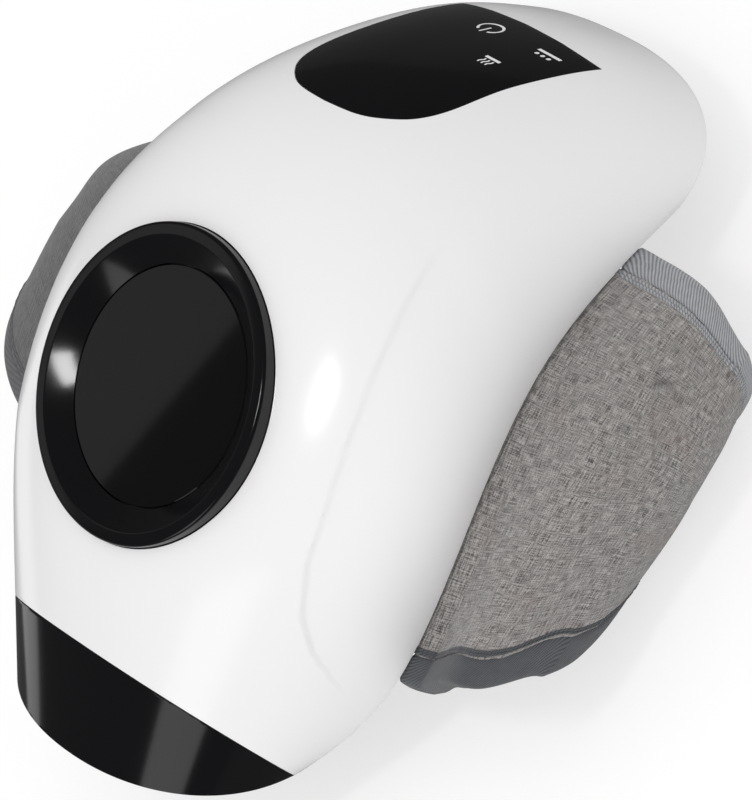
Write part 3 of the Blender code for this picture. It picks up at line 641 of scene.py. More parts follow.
def panel_outline(grow):
    steps = np.linspace(0, 1, len(PANEL_SHARES))
    flank = spline(steps, PANEL_SHARES)(np.linspace(0, 1, len(PANEL_SHARES) * PANEL_FINE))
    flank[0, 0] = 0.0
    half = list(flank) + [np.array(b) for b in PANEL_BACK_SHARES]
    middle = PANEL_FRONT_Y + PANEL_LENGTH / 2
    stretch = 1 + 2 * grow / PANEL_LENGTH
    near = [(w * (PANEL_HALF_WIDTH + grow),
             middle + (PANEL_FRONT_Y + along * PANEL_LENGTH - middle) * stretch)
            for w, along in half]
    return near[::-1] + [(-x, y) for x, y in near[1:-1]]


def patch_rule(u_span, v_half, offset):
    def rule(s, t):
        u = u_span[0] + (u_span[1] - u_span[0]) * t
        return dome(u, (2 * s - 1) * v_half, np.full_like(u, offset))
    return rule


lens = grid_piece("touch_lens", 121, 101, patch_rule((0.62, 0.97), 0.52, 0.0), black_gloss)
bake(wall(lens, PANEL_THICK))
cut(lens, prism(panel_outline(0.0), 0.0, DOME_CREST), "INTERSECT")
pocket = grid_piece("pocket", 61, 51, patch_rule((0.61, 0.98), 0.54, FIT_GAP * 3), black_gloss)
bake(wall(pocket, PANEL_THICK + FIT_GAP * 4))
cut(pocket, prism(panel_outline(0.22 * MM), 0.0, DOME_CREST), "INTERSECT")
modifier(cover, "BOOLEAN", object=pocket, operation="DIFFERENCE", solver="EXACT")
bake(cover, 40)
bpy.data.objects.remove(pocket, do_unlink=True)
belongs(cover, "body", "white_shell", "outer_shell")
belongs(lens, "body", "black_gloss", "control_panel_lens")

# %% [markdown]
# The key marks are printed in white under the lens. Print has no thickness, so each mark is a
# thin flat strip of faces dropped straight down onto the lens and lifted by a few hundredths
# of a millimetre. They are the plain signs for power, warmth and vibration.

# %% The key marks
MARK_LIFT = 0.05 * MM
POWER_PLACE = Vector((-1.0, 102.7)) * MM
WARM_PLACE = Vector((15.2, 93.7)) * MM
SHAKE_PLACE = Vector((19.4, 103.6)) * MM
MARK_LINE = 0.58 * MM
lens_tree = BVHTree.FromPolygons([v.co for v in lens.data.vertices],
                                 [p.vertices for p in lens.data.polygons])


def strip(bm, path, width):
    """A flat ribbon along a path of plan points."""
    path = [Vector(p) for p in path]
    pairs = []
    for i, point in enumerate(path):
        ahead = path[min(i + 1, len(path) - 1)] - path[max(i - 1, 0)]
        side = Vector((-ahead.y, ahead.x)).normalized() * width / 2
        pairs.append([bm.verts.new((*(point + side * k), 0)) for k in (1, -1)])
    for (a, b), (c, d) in zip(pairs, pairs[1:]):
        bm.faces.new((a, b, d, c))


def drop_on_lens(bm):
    for vert in bm.verts:
        hit, normal, _, _ = lens_tree.ray_cast(Vector((vert.co.x, vert.co.y, DOME_CREST * 2)),
                                               Vector((0, 0, -1)))
        vert.co = hit + normal * MARK_LIFT
    bmesh.ops.recalc_face_normals(bm, faces=bm.faces)
    if sum(f.normal.z for f in bm.faces) < 0:
        bmesh.ops.reverse_faces(bm, faces=bm.faces)


def arc_points(centre, radius, start, end, count, squeeze=1.0):
    return [centre + Vector((radius * math.sin(a), -radius * squeeze * math.cos(a)))
            for a in np.linspace(start, end, count)]


def straight(start, end, count=9):
    return [Vector(start).lerp(Vector(end), k) for k in np.linspace(0, 1, count)]


def power_mark(bm):
    strip(bm, arc_points(POWER_PLACE, 3.5 * MM, 0.55, math.tau - 0.55, 40, 0.62), MARK_LINE)
    top = POWER_PLACE - Vector((0, 2.6 * MM))
    strip(bm, straight(POWER_PLACE + Vector((0, 0.1 * MM)), top), MARK_LINE)


def warmth_mark(bm):
    half = Vector((2.4 * MM, 0))
    strip(bm, straight(WARM_PLACE - half, WARM_PLACE + half), MARK_LINE * 1.3)
    for k in (-1, 0, 1):
        foot = WARM_PLACE + Vector((k * 1.3 * MM, -0.8 * MM))
        wave = [foot + Vector((0.25 * MM * math.sin(a * math.tau), -a * 1.9 * MM))
                for a in np.linspace(0, 1, 13)]
        strip(bm, wave, MARK_LINE * 0.75)


def shake_mark(bm):
    half = Vector((3.6 * MM, 0))
    strip(bm, straight(SHAKE_PLACE - half, SHAKE_PLACE + half), MARK_LINE * 1.3)
    for k in (-1, 0, 1):
        centre = SHAKE_PLACE + Vector((k * 1.9 * MM, -1.5 * MM))
        strip(bm, arc_points(centre, 0.27 * MM, 0, math.tau, 13, 0.8), 0.5 * MM)


mark_white = Finish("mark_white", Roughness=0.5)
speck = mark_white.grain(mark_white.place((2.0, 2.0, 2.0)), 1.0, 2.0)
mark_white.set("Base Color", mark_white.blend(speck, tone(226, 226, 228), tone(244, 244, 244)))
for name, draw in (("power_mark", power_mark), ("warmth_mark", warmth_mark),
                   ("shake_mark", shake_mark)):
    marks = bmesh.new()
    draw(marks)
    drop_on_lens(marks)
    belongs(to_object(name, marks, mark_white.material, 0), "body", "black_gloss")

# %% [markdown]
# The chin is the same skin in front of the seam. Its inner edge keeps a seam of about a third
# of a millimetre to the white cover, and the edges are rounded, because a moulded edge catches
# a fine line of light.

# %% The chin
CHIN_SPAN_SHARE = 0.985
CHIN_LEAST_SHARE = 0.0004
CHIN_ROUND = 0.35 * MM


def chin_rule(s, t):
    v = (2 * s - 1) * CHIN_SPAN_SHARE
    lines, place = np.unique(v, return_inverse=True)
    end = chin_line(lines)[place]
    gap = SEAM_GAP / DOME_LENGTH
    u = np.maximum(end - gap, CHIN_LEAST_SHARE) * t
    return dome(u, v)


chin = grid_piece("chin_trim", 161, 41, chin_rule, black_gloss)
wall(chin, SHELL_WALL, CHIN_ROUND)
bake(chin, 40)
belongs(chin, "body", "black_gloss", "chin_cover")

# %% [markdown]
# The round boss is two pieces. The bezel is a turned ring with a rounded lip and a cone that
# falls in to the plate, and the plate is a flat polished disc sunk inside it. A turned piece
# starts as an outline of radius and height, and one spin makes it round. The lip's two arcs
# come from a function, because a highlight shows every facet.

# %% The round boss
LIP_WIDTH = 3.4 * MM
LIP_ROUND = 1.0 * MM
PLATE_RADIUS = 32.5 * MM
PLATE_DROP = 4.6 * MM
PLATE_THICK = 1.6 * MM
SKIRT_WALL = 2.0 * MM
EDGE_ROUND = 0.25 * MM


def arc(centre, radius, start, end, count=9):
    return [(centre[0] + radius * math.cos(a), centre[1] + radius * math.sin(a))
            for a in np.linspace(start, end, count)]


lip_inside = DISC_RADIUS - LIP_WIDTH
foot = PLATE_RADIUS + FIT_GAP
fall = math.atan2(PLATE_DROP - LIP_ROUND, lip_inside - foot)
under = -PLATE_DROP - PLATE_THICK - FIT_GAP
ring = ([(DISC_RADIUS, -DISC_DEPTH)]
        + arc((DISC_RADIUS - LIP_ROUND, -LIP_ROUND), LIP_ROUND, 0.0, math.pi / 2)
        + arc((lip_inside, -LIP_ROUND), LIP_ROUND, math.pi / 2, math.pi / 2 + fall)
        + [(foot, -PLATE_DROP), (foot, under), (PLATE_RADIUS - SKIRT_WALL, under),
           (PLATE_RADIUS - SKIRT_WALL, under - SKIRT_WALL),
           (DISC_RADIUS - SKIRT_WALL, under - SKIRT_WALL),
           (DISC_RADIUS - SKIRT_WALL, -DISC_DEPTH), (DISC_RADIUS, -DISC_DEPTH)])
bezel = to_object("boss_bezel", spun(ring, 192, DISC_CENTRE, DISC_TURN), black_gloss, 35)
belongs(bezel, "body", "black_gloss", "disc_bezel")
disc_line = [(0, -PLATE_DROP - PLATE_THICK), (PLATE_RADIUS, -PLATE_DROP - PLATE_THICK),
             (PLATE_RADIUS, -PLATE_DROP - EDGE_ROUND), (PLATE_RADIUS - EDGE_ROUND, -PLATE_DROP),
             (0, -PLATE_DROP)]
plate = to_object("boss_plate", spun(disc_line, 160, DISC_CENTRE, DISC_TURN), black_disc, 32)
belongs(plate, "body", "black_gloss", "disc_plate")

# %% [markdown]
# Each wing is padded cloth that leaves the shell under its rim, swells out and rolls under to
# the table. Its line is a squared arc whose start follows the rim. The two edges of the wing
# are curves too, so it tapers from the knee to the strap end. The two wings start as mirror
# images, so every wing piece is made by one function called for each side. Soft cloth leaves
# that plain form, and one small rule says how: the near wing sags at its front edge, and the
# far wing is drawn in at both edges, as far as the photograph shows it.

# %% The wing's form
WING_FRONT_Y, WING_REAR_Y = -60.0 * MM, 72.0 * MM
WING_ROLL_X, WING_ROLL_Z = 84.0 * MM, 30.0 * MM
WING_BULGE, WING_RISE, WING_DROP = 28.5 * MM, 31.0 * MM, 30.5 * MM
WING_TURN = math.radians(196.0)
WING_SQUARE_SHARE = 2.8
ROOT_INSET, ROOT_GAP = 1.0 * MM, 1.2 * MM
ROOT_HOLD_SHARE = 0.042
ROOT_FADE_SHARES = (0.25, 0.60, 0.80)
WING_CROWN = 1.4 * MM
WING_STACK = 7.4 * MM
BINDING_SHARE = 0.065
WING_EDGE_SHARES = ((0.00, 0.000, 1.000), (0.20, 0.070, 0.985), (0.45, 0.225, 0.925),
                    (0.70, 0.385, 0.830), (0.88, 0.430, 0.775), (1.00, 0.440, 0.760))
WING_EDGES = spline([e[0] for e in WING_EDGE_SHARES], [e[1:] for e in WING_EDGE_SHARES])
WING_LENGTH = WING_REAR_Y - WING_FRONT_Y
RIGHT_SAG_SHARE = 0.105
RIGHT_SAG_RISE, RIGHT_SAG_FALL = (0.12, 0.30), (0.95, 0.28)
RIGHT_BUMP_SHARE, RIGHT_BUMP_AT, RIGHT_BUMP_REACH = 0.35, 0.55, 0.07
RIGHT_SLACK = 1.6 * MM
RIGHT_SLACK_RISE, RIGHT_SLACK_FALL = (0.2, 0.2), (0.85, 0.2)
LEFT_DRAW_SHARE, LEFT_DRAW_RISE = 0.30, (0.04, 0.40)
LEFT_TUCK_SHARE, LEFT_TUCK_RISE = 0.17, (0.0, 0.12)
LEFT_EASE_SHARE, LEFT_EASE_RISE = 0.75, (0.45, 0.35)
LEFT_PUFF_RISE, LEFT_PUFF_FALL = (0.0, 0.2), (0.8, 0.3)
LEFT_PUFF_LINE = ((0.0, 1.4), (0.15, 1.6), (0.30, 1.9), (0.42, 2.7), (0.56, 4.7), (0.70, 1.5),
                  (0.80, -1.8), (1.0, -3.0))
LEFT_PUFF = spline([p[0] for p in LEFT_PUFF_LINE], [(p[1] * MM,) for p in LEFT_PUFF_LINE])
TAPE_WIDER_SHARE, TAPE_WIDER_RISE = 0.8, (0.22, 0.25)
CLOTH_REACH = 0.105
RIM_LINE = RIM(np.linspace(0, 1, 400))


def wing_line(t, w):
    """The right wing's outer face, t round the roll and w from front edge to rear edge."""
    t, w = np.broadcast_arrays(np.asarray(t, float), np.asarray(w, float))
    angle = math.pi / 2 - WING_TURN * t
    cosine, sine = np.cos(angle), np.sin(angle)
    square = np.where(sine > 0, WING_SQUARE_SHARE, 2.0)
    rise = np.where(sine > 0, WING_RISE, WING_DROP)
    out = np.sign(cosine) * np.abs(cosine) ** (2 / square) * WING_BULGE
    up = np.sign(sine) * np.abs(sine) ** (2 / square) * rise
    edges = WING_EDGES(t)
    root_y = WING_FRONT_Y + WING_LENGTH * w
    root_x = np.interp(root_y, RIM_LINE[:, 1], RIM_LINE[:, 0])
    root_z = np.interp(root_y, RIM_LINE[:, 1], RIM_LINE[:, 2])
    toward_rear = np.clip((w - 0.4) / 0.6, 0, 1)
    reach, more, ease = ROOT_FADE_SHARES
    past = np.maximum(t - ROOT_HOLD_SHARE, 0) / (reach + more * toward_rear)
    fade = np.maximum(1 - past, 0) ** (2 - ease * toward_rear)
    x = WING_ROLL_X + out + (root_x - ROOT_INSET - WING_ROLL_X) * fade
    z = WING_ROLL_Z + up + (root_z - ROOT_GAP - WING_ROLL_Z - WING_RISE) * fade
    front, rear = edges[..., 0], edges[..., 1]
    y = WING_FRONT_Y + WING_LENGTH * (front + (rear - front) * w)
    return np.stack((x, y, z), -1)


def wing_ray(t):
    """The direction out of the wing at t, in the plane across the wing."""
    h = 0.05
    along = wing_line(t + h, 0.5) - wing_line(np.maximum(t - h, 0), 0.5)
    ray = np.stack((-along[..., 2], 0 * t, along[..., 0]), -1)
    ray /= np.linalg.norm(ray, axis=-1, keepdims=True)
    turn = smooth_step((t - ROOT_HOLD_SHARE / 2) / (2 * ROOT_HOLD_SHARE))[..., None]
    ray = ray * turn + np.array((0.0, 0.0, 1.0)) * (1 - turn)
    return ray / np.linalg.norm(ray, axis=-1, keepdims=True)


def rises(t, start, reach):
    """From 0 to 1, over a reach that begins at the start."""
    return smooth_step((t - start) / reach)


def falls(t, end, reach):
    """From 1 to 0, over a reach that stops at the end."""
    return smooth_step((end - t) / reach)


def hang(t, w, side):
    """How the soft wing departs from its plain form: a new w, and a puff along the ray."""
    if side > 0:
        droop = rises(t, *RIGHT_SAG_RISE) * falls(t, *RIGHT_SAG_FALL)
        droop = droop + RIGHT_BUMP_SHARE * np.exp(-((t - RIGHT_BUMP_AT) / RIGHT_BUMP_REACH) ** 2)
        puff = -RIGHT_SLACK * rises(t, *RIGHT_SLACK_RISE) * falls(t, *RIGHT_SLACK_FALL)
        return w - RIGHT_SAG_SHARE * np.maximum(1 - w, 0) ** 3 * droop, puff
    draw = LEFT_DRAW_SHARE * np.maximum(1 - w, 0) ** 2 * rises(t, *LEFT_DRAW_RISE)
    draw -= LEFT_TUCK_SHARE * np.maximum(w, 0) ** 3 * rises(t, *LEFT_TUCK_RISE)
    draw *= 1 - LEFT_EASE_SHARE * rises(t, *LEFT_EASE_RISE)
    puff = (LEFT_PUFF(np.clip(w, 0, 1))[..., 0] * rises(t, *LEFT_PUFF_RISE)
            * falls(t, *LEFT_PUFF_FALL))
    return w + draw, puff


def wing_point(t, w, side, height):
    """A place at a height over the wing's face, kept above the table."""
    t, w, height = np.broadcast_arrays(*(np.asarray(a, float) for a in (t, w, height)))
    swell = WING_CROWN * 4 * w * (1 - w) * smooth_step(t / ROOT_FADE_SHARES[0])
    swell = swell * np.maximum(1 + height / (WING_STACK * 0.8), 0)
    w, puff = hang(t, w, side)
    point = wing_line(t, w) + wing_ray(t) * (swell + height + puff)[..., None]
    point[..., 2] = np.maximum(point[..., 2], np.maximum(-height, 0.0))
    point[..., 0] *= side
    return point


def tape_share(t, side, end):
    """How much of the wing's length the tape covers. The near front tape slips wider."""
    slips = side > 0 and end == "front"
    wider = TAPE_WIDER_SHARE * rises(t, *TAPE_WIDER_RISE) if slips else 0.0
    return BINDING_SHARE * (1 + wider) + 0 * t


SIDES = ((1, "right"), (-1, "left"))
print("wing reaches", round(float(wing_line(0.45, 0.5)[0]), 4), "m from the middle")


# %% [markdown]
# Cloth over foam is never quite smooth. The seams pull it into short puckers beside the tape,
# and a few long soft folds run from the rim to the corners. They are a sum of slow noises,
# strongest near the seams, and they fade out at the root so that the wing still tucks in. The
# near wing also gets the few folds and dents that the photograph shows one by one. Inside each
# wing, near its end, lies a sewn patch of hook tape, where a strap would be fixed.

# %% The padded wing
PATCH_SHARES = (0.80, 0.96, 0.25, 0.75)
PATCH_THICK = 0.9 * MM
PATCH_CORNER = 0.05
PATCH_SINK, PATCH_ROUND = 0.1 * MM, 0.2 * MM
PATCH_STITCH, PATCH_STITCH_AT, PATCH_STITCH_REACH = 0.3 * MM, 0.88, 0.03
PUCKER = 0.55 * MM
FOLD = 1.3 * MM
SEAM_PLACES, SEAM_REACH = (0.065, 0.935), 0.07
RIM_REACH = 0.16
HELD_REACH = 0.10
PAD_UNDER_TAPE_SHARE = 0.75
EDGE_TUCK, EDGE_TUCK_REACH = 0.9 * MM, 0.02
PAD_LINING_ROOM = 1.6 * MM
WING_LINING_LIFT, WING_LINING_WALL = 1.3 * MM, 1.1 * MM
DENTS = ((0.31, 0.765, 0.055, 0.015, 0.35, -3.0), (0.36, 0.82, 0.060, 0.028, 0.5, 1.6),
         (0.13, 0.70, 0.060, 0.016, -0.5, -1.0), (0.10, 0.20, 0.020, 0.030, 1.0, -0.9),
         (0.45, 0.62, 0.160, 0.030, -0.4, -0.6))


def dents(t, w, side):
    """The few folds that the photograph shows one by one, each a soft long spot."""
    height = np.zeros_like(t)
    if side > 0:
        for t0, w0, reach_t, reach_w, lean, depth in DENTS:
            across = (w - w0) - lean * (t - t0)
            height += depth * MM * np.exp(-((t - t0) / reach_t) ** 2 - (across / reach_w) ** 2)
    return height


def wrinkles(t, w, side):
    """Height of the cloth's folds over its smooth form."""
    values = []
    for a, b in zip(t, w):
        long_fold = noise.noise(Vector((a * 3.0 + b * 1.6, b * 2.4 - a * 1.1, 7.3 * side)))
        pucker = noise.noise(Vector((a * 34.0, b * 5.0, 3.1 * side)))
        near_seam = sum(math.exp(-((b - place) / SEAM_REACH) ** 2) for place in SEAM_PLACES)
        near_rim = math.exp(-(a / RIM_REACH) ** 2)
        crimp = noise.noise(Vector((a * 4.0, b * 26.0, 9.7 * side)))
        values.append(FOLD * long_fold + PUCKER * pucker * near_seam
                      + PUCKER * 1.2 * crimp * near_rim)
    held = smooth_step(t / HELD_REACH)
    return np.array(values) * held + dents(t, w, side)


def wing_pad(side, word):
    def rule(s, t):
        first = tape_share(t, side, "front") * PAD_UNDER_TAPE_SHARE
        last = 1 - BINDING_SHARE * PAD_UNDER_TAPE_SHARE
        w = first + (last - first) * s
        edge = np.minimum(s, 1 - s)
        tuck = -EDGE_TUCK * np.exp(-(edge / EDGE_TUCK_REACH) ** 2)
        return wing_point(t, w, side, wrinkles(t, w, side) + tuck)
    # The far wing takes the copy of the linen with painted shade.
    cloth = linen_cloth if side > 0 else shaded_linen
    pad = grid_piece(f"wing_pad_{word}", 121, 151, rule, cloth,
                     (CLOTH_REACH, WING_LENGTH))
    if side > 0:
        pad.data.flip_normals()
    wall(pad, WING_STACK - PAD_LINING_ROOM)
    bake(pad, 60)
    return belongs(pad, f"wing_{word}", "linen_fabric", f"wing_outer_cover_{word}",
                   f"wing_stiffener_{word}", f"wing_padding_{word}", pad=0.6)


def wing_lining(side, word):
    def rule(s, t):
        w = BINDING_SHARE + (1 - 2 * BINDING_SHARE) * s
        return wing_point(t, w, side, -WING_STACK + WING_LINING_LIFT)
    cover = grid_piece(f"wing_lining_{word}", 61, 81, rule, lining_knit,
                       (CLOTH_REACH, WING_LENGTH))
    if side > 0:
        cover.data.flip_normals()
    wall(cover, WING_LINING_WALL)
    bake(cover, 60)
    return belongs(cover, f"wing_{word}", "lining_fabric", f"wing_inner_cover_{word}",
                   pad=0.3)


def hook_patch(side, word):
    """A sewn patch of hook tape near the wing's end, with rounded corners."""
    def rule(s, t):
        a, b = 2 * t - 1, 2 * s - 1
        soft = 1 - PATCH_CORNER * (a * b) ** 6
        first, last, left, right = PATCH_SHARES
        across = (left + right) / 2 + (right - left) / 2 * b * soft
        along = (first + last) / 2 + (last - first) / 2 * a * soft
        outward = np.maximum(np.abs(a), np.abs(b)) - PATCH_STITCH_AT
        lift = PATCH_STITCH * np.exp(-(outward / PATCH_STITCH_REACH) ** 2)
        return wing_point(along, across, side, -WING_STACK + PATCH_SINK + lift)
    patch = grid_piece(f"hook_patch_{word}", 61, 41, rule, hook_tape, (0.04, 0.06))
    if side > 0:
        patch.data.flip_normals()
    bake(wall(patch, PATCH_THICK, PATCH_ROUND), 60)
    return belongs(patch, f"wing_{word}", "hook_tape", f"wing_patch_{word}")


for side, word in SIDES:
    wing_pad(side, word)
    wing_lining(side, word)
    hook_patch(side, word)

# %% [markdown]
# The edges are bound with a folded tape. Its section is a flattened loop that wraps the edge
# of the pad, so the piece is a tube: the grid's rows run along the edge and its columns run
# round the loop, and the doubled line is merged. A pair of fine corded ridges marks the seam
# where the tape was sewn down.

# %% Bindings and seams
TAPE_SQUARE = 5.0
TAPE_WAVE = 0.18 * MM


def loop_mesh(name, around, along, rule, material, cloth):
    """A tube from a grid, closed round and capped at both ends."""
    item = grid_piece(name, around, along, rule, material, cloth)
    bm = bmesh.new()
    bm.from_mesh(item.data)
    bmesh.ops.remove_doubles(bm, verts=bm.verts, dist=0.004 * MM)
    ends = [e for e in bm.edges if e.is_boundary]
    bmesh.ops.holes_fill(bm, edges=ends, sides=0)
    bmesh.ops.recalc_face_normals(bm, faces=bm.faces)
    bm.to_mesh(item.data)
    bm.free()
    item.data.shade_smooth()
    item.data.set_sharp_from_angle(angle=math.radians(60))
    return item


def tape(side, word, end, material):
    edge = 0.0 if end == "front" else 1.0
    half_w = BINDING_SHARE / 2
    thick = WING_STACK / 2 + 0.25 * MM

    def flattened(angle):
        """A squared loop, as shares of the tape's half width and half thickness."""
        square = 2 / TAPE_SQUARE
        return (np.sign(np.cos(angle)) * np.abs(np.cos(angle)) ** square,
                np.sign(np.sin(angle)) * np.abs(np.sin(angle)) ** square)

    turn = np.linspace(0, math.tau, 1441)
    across, over = flattened(turn)
    steps = np.hypot(np.diff(across) * half_w * WING_LENGTH, np.diff(over) * thick)
    walked = np.concatenate(([0.0], np.cumsum(steps)))

    def rule(s, t):
        across, over = flattened(np.interp(s * walked[-1], walked, turn))
        ripple = np.array([noise.noise(Vector((a * 11.0, b * 1.5, 5.0 * side + edge * 9)))
                           for a, b in zip(t, s)]) * TAPE_WAVE * smooth_step(t / 0.1)
        half = tape_share(t, side, end) / 2
        w = np.clip(np.abs(edge - half * (1 + across * (1 - 2 * edge))), 0, 1)
        height = -thick + 0.25 * MM + (thick + ripple) * over
        return wing_point(t, w, side, height)
    item = loop_mesh(f"binding_{end}_{word}", 41, 161, rule, material,
                     (CLOTH_REACH, walked[-1]))
    return belongs(item, f"wing_{word}", "binding_tape", f"wing_binding_{end}_{word}")


def seam_ridge(side, word, end, material, shift, number):
    radius = 0.45 * MM

    def rule(s, t):
        angle = s * math.tau
        seam = tape_share(t, side, end) + 0.003 + shift
        place = seam if end == "front" else 1 - seam
        w = place + radius / WING_LENGTH * np.cos(angle) * 1.2
        beat = 1 + 0.14 * np.sin(t * 420.0)
        height = wrinkles(t, place, side) - 0.15 * MM
        return wing_point(t, w, side, height + radius * np.sin(angle) * beat)
    item = loop_mesh(f"seam_{end}_{number}_{word}", 9, 321, rule, material,
                     (CLOTH_REACH, math.tau * radius))
    return belongs(item, f"wing_{word}", "binding_tape")


for side, word in SIDES:
    # The far wing's front tape is the copy with painted shade.
    for end, cloth in (("front", front_tape if side > 0 else shaded_tape), ("rear", rear_tape)):
        tape(side, word, end, cloth)
        for number, shift in enumerate((0.0, 0.0075)):
            seam_ridge(side, word, end, cloth, shift, number + 1)

# %% [markdown]
# Under the dome lies the part that touches the knee: a soft padded lining over the heating
# film. It is one crowned sheet that draws in at its edge, with a few shallow sewn channels
# across it. It follows the hidden inner shell, so its depth under the dome is the same rule.

# %% The knee lining
CAVITY_DEPTH = 21.0 * MM
INNER_WALL = 1.8 * MM
LIP_DEPTH = 3.5 * MM
INNER_SPAN_SHARES = (0.07, 0.94, 0.86)
LINING_SPAN_SHARES = (0.10, 0.92, 0.78)
EDGE_SHARE = 0.22
LINING_STAND = 2.2 * MM
LINING_THICK = 5.0 * MM
CHANNELS = 7
CHANNEL_DEPTH = 1.3 * MM


def span_edge(u, v, span):
    return np.minimum(np.minimum(u - span[0], span[1] - u), span[2] - np.abs(v))


def inner_depth(u, v):
    inside = span_edge(u, v, INNER_SPAN_SHARES) / EDGE_SHARE
    return LIP_DEPTH + (CAVITY_DEPTH - LIP_DEPTH) * smooth_step(inside)


def lining_rule(s, t):
    start, end, half = LINING_SPAN_SHARES
    u, v = start + (end - start) * t, (2 * s - 1) * half
    inside = span_edge(u, v, LINING_SPAN_SHARES)
    plump = (1 + smooth_step(inside / 0.10)) / 2
    channel = np.exp(-((t * CHANNELS % 1 - 0.5) / 0.06) ** 2) * smooth_step(inside / 0.05)
    under = inner_depth(u, v) + INNER_WALL + LINING_STAND
    return dome(u, v, -(under + LINING_THICK * plump - CHANNEL_DEPTH * channel))


lining = grid_piece("knee_pad", 141, 221, lining_rule, lining_knit, (0.25, 0.15))
lining.data.flip_normals()
wall(lining, LINING_THICK * 0.5, 0.6 * MM)
bake(lining, 60)
belongs(lining, "body", "lining_fabric", "knee_lining", pad=0.5)

# %% [markdown]
# The stage is a plain pale floor under an even white world, which is how a shop photograph is
# lit. To the camera the floor adds a little glow of its own, so it blends with the white
# background and keeps only a soft shadow. Glossy rays see a dim world and a dim floor instead
# of the white ones, because the black trim of the photograph reflects a dark studio.

# %% Floor and world
FLOOR_SIZE = 6.0
FLOOR_DROP = 0.5 * MM
FLOOR_PALE = (0.92, 0.94)
FLOOR_IN_GLOSS = 0.10
FLOOR_IN_VIEW = 0.40
WORLD_LIGHT = 0.82
GLOSSY_LIGHT = 0.05
FLOOR_GLOW = 0.64


def grey(value):
    return (value, value, value, 1)


floor_finish = Finish("floor_finish", Roughness=0.9, Specular_IOR_Level=0.0,
                      Emission_Strength=1.0)
seen = floor_finish.node("ShaderNodeLightPath", output="Is Camera Ray")
dust = floor_finish.grain(floor_finish.place((0.002, 0.002, 0.002)), 1.0, 1.0)
pale = floor_finish.blend(dust, grey(FLOOR_PALE[0]), grey(FLOOR_PALE[1]))
mirrored = floor_finish.node("ShaderNodeLightPath", output="Is Glossy Ray")
pale = floor_finish.blend(mirrored, pale, grey(FLOOR_IN_GLOSS))
floor_finish.set("Base Color", floor_finish.blend(seen, pale, grey(FLOOR_IN_VIEW)))
floor_finish.set("Emission Color", floor_finish.blend(seen, grey(0), grey(FLOOR_GLOW)))
bm = bmesh.new()
bmesh.ops.create_grid(bm, x_segments=1, y_segments=1, size=FLOOR_SIZE)
floor = to_object("floor", bm, floor_finish.material, 0)
floor.location.z = -FLOOR_DROP

world = bpy.data.worlds.new("studio")
bpy.context.scene.world = world
world.use_nodes = True
tree = world.node_tree
background = tree.nodes["Background"]
background.inputs["Color"].default_value = (1, 1, 1, 1)
rays = tree.nodes.new("ShaderNodeLightPath")


def world_math(operation, first, second):
    made = tree.nodes.new("ShaderNodeMath")
    made.operation = operation
    for n, value in enumerate((first, second)):
        if isinstance(value, (int, float)):
            made.inputs[n].default_value = value
        else:
            tree.links.new(value, made.inputs[n])
    return made.outputs[0]


camera_part = world_math("MULTIPLY", rays.outputs["Is Camera Ray"], 1.0 - WORLD_LIGHT)
glossy_part = world_math("MULTIPLY", rays.outputs["Is Glossy Ray"], GLOSSY_LIGHT - WORLD_LIGHT)
light = world_math("ADD", camera_part, glossy_part)
tree.links.new(world_math("ADD", light, WORLD_LIGHT), background.inputs["Strength"])

# %% [markdown]
# Highlights tell where the lamps stood. A view ray is bounced off the surface where the
# photograph shows a highlight, and a lamp goes where the bounced ray points. One long softbox
# overhead makes both the spot on the cover and the bright stretch of the bezel's cone. A wide
# fill lamp lifts the near side and makes no highlight of its own. The boards are dim and serve
# reflections only: one for the chin's upright strip, one for the chin's pale far end, and one
# whose edge draws the slanting line that divides the round plate into two tones.

# %% Lamps and boards
KEY_PLACE = Vector((152, -168, 768)) * MM
KEY_SIZE = (90 * MM, 165 * MM)
KEY_POWER = 0.85
FILL_PLACE = Vector((620, -420, 330)) * MM
FILL_SIZE = (500 * MM, 500 * MM)
FILL_POWER = 0.6
LAMP_UP = Vector((0.2, 0.95, 0.1))
PLATE_BOARD_REACH, PLATE_BOARD_GLOW = 400 * MM, 0.33
PLATE_LIT_CORNERS_MM = ((38.7, 68.0), (-34.0, 101.5), (-98.6, -38.7), (-26.0, -72.2))
CHIN_BOARD_REACH, CHIN_BOARD_GLOW = 700 * MM, 1.3
CHIN_STRIP_PLACE = Vector((36.1, -104.2, 54.9)) * MM
CHIN_STRIP_NORMAL = Vector((0.458, -0.565, 0.686)).normalized()
CHIN_BOARD_HALF = (0.15, 0.30)
CHIN_BOARD_CORNERS = ((-1, -1), (1, -1), (1, 0.5), (-1, 0.5))
SIDE_BOARD_GLOW = 0.9
SIDE_BOARD_CORNERS = ((-0.2, -0.6, 0), (-1.8, -0.6, 0), (-1.8, -0.08, 0), (-0.2, -0.08, 0))
CAMERA_PLACE = VIEW_CENTRE + VIEW_BACK * CAMERA_DISTANCE


def softbox(name, place, target, size, power):
    data = bpy.data.lights.new(name, "AREA")
    data.shape = "RECTANGLE"
    data.size, data.size_y = size
    data.energy = power
    lamp = bpy.data.objects.new(name, data)
    bpy.context.scene.collection.objects.link(lamp)
    back = (place - target).normalized()
    lamp.matrix_world = look_from(place, back, LAMP_UP, 0.0)
    return lamp


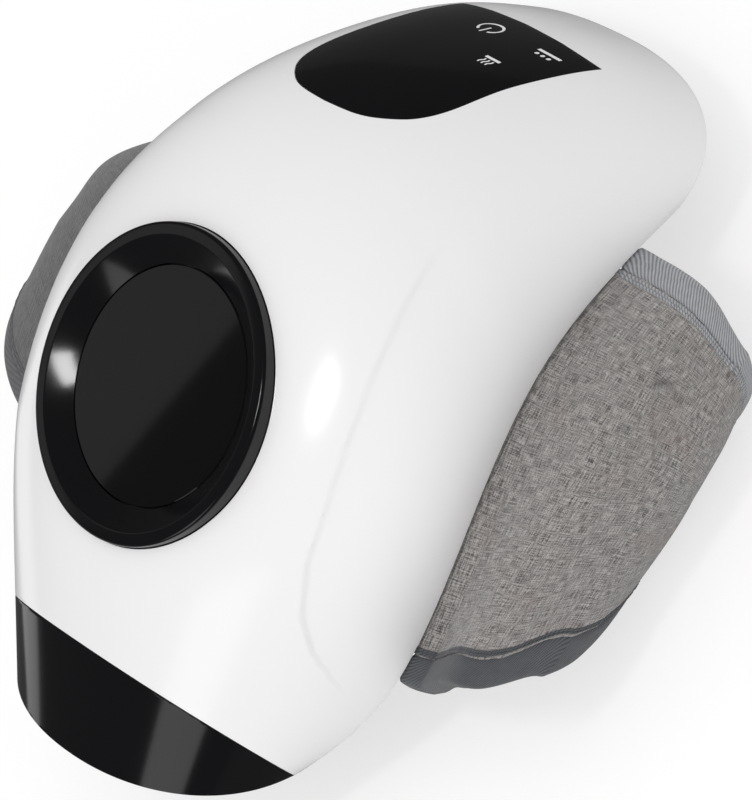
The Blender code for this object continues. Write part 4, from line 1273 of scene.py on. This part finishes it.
def bounce(place, normal):
    """Where the view ray goes after it meets the surface."""
    ray = (place - CAMERA_PLACE).normalized()
    return ray - 2 * ray.dot(normal) * normal


def board(name, corners, strength):
    """A dim glowing board that only reflections see."""
    made = bpy.data.materials.new(name)
    made.use_nodes = True
    nodes = made.node_tree.nodes
    nodes.clear()
    glow = nodes.new("ShaderNodeEmission")
    glow.inputs["Strength"].default_value = strength
    end = nodes.new("ShaderNodeOutputMaterial")
    made.node_tree.links.new(glow.outputs[0], end.inputs[0])
    bm = bmesh.new()
    bm.faces.new([bm.verts.new(c) for c in corners])
    item = to_object(name, bm, made, 0)
    item.visible_camera = False
    item.visible_diffuse = False
    item.visible_shadow = False
    item.visible_transmission = False


key = softbox("key_light", KEY_PLACE, DISC_CENTRE, KEY_SIZE, KEY_POWER)
fill = softbox("fill_light", FILL_PLACE, DISC_CENTRE, FILL_SIZE, FILL_POWER)
fill.visible_glossy = False

plate_normal = DISC_TURN @ Vector((0, 0, 1))
lit = []
for x, y in PLATE_LIT_CORNERS_MM:
    spot = DISC_CENTRE + DISC_TURN @ (Vector((x, y, 0)) * MM - Vector((0, 0, PLATE_DROP)))
    lit.append(spot + bounce(spot, plate_normal) * PLATE_BOARD_REACH)
board("plate_board", lit, PLATE_BOARD_GLOW)

toward = bounce(CHIN_STRIP_PLACE, CHIN_STRIP_NORMAL)
across = Vector((1, 0, 0))
up = toward.cross(across).normalized() * -1
middle = CHIN_STRIP_PLACE + toward * CHIN_BOARD_REACH
board("chin_board", [middle + across * CHIN_BOARD_HALF[0] * a + up * CHIN_BOARD_HALF[1] * b
                     for a, b in CHIN_BOARD_CORNERS], CHIN_BOARD_GLOW)
board("side_board", SIDE_BOARD_CORNERS, SIDE_BOARD_GLOW)
bpy.context.scene.view_settings.view_transform = "Standard"
print("world", WORLD_LIGHT, "glossy", GLOSSY_LIGHT, "key", tuple(round(c, 3) for c in KEY_PLACE))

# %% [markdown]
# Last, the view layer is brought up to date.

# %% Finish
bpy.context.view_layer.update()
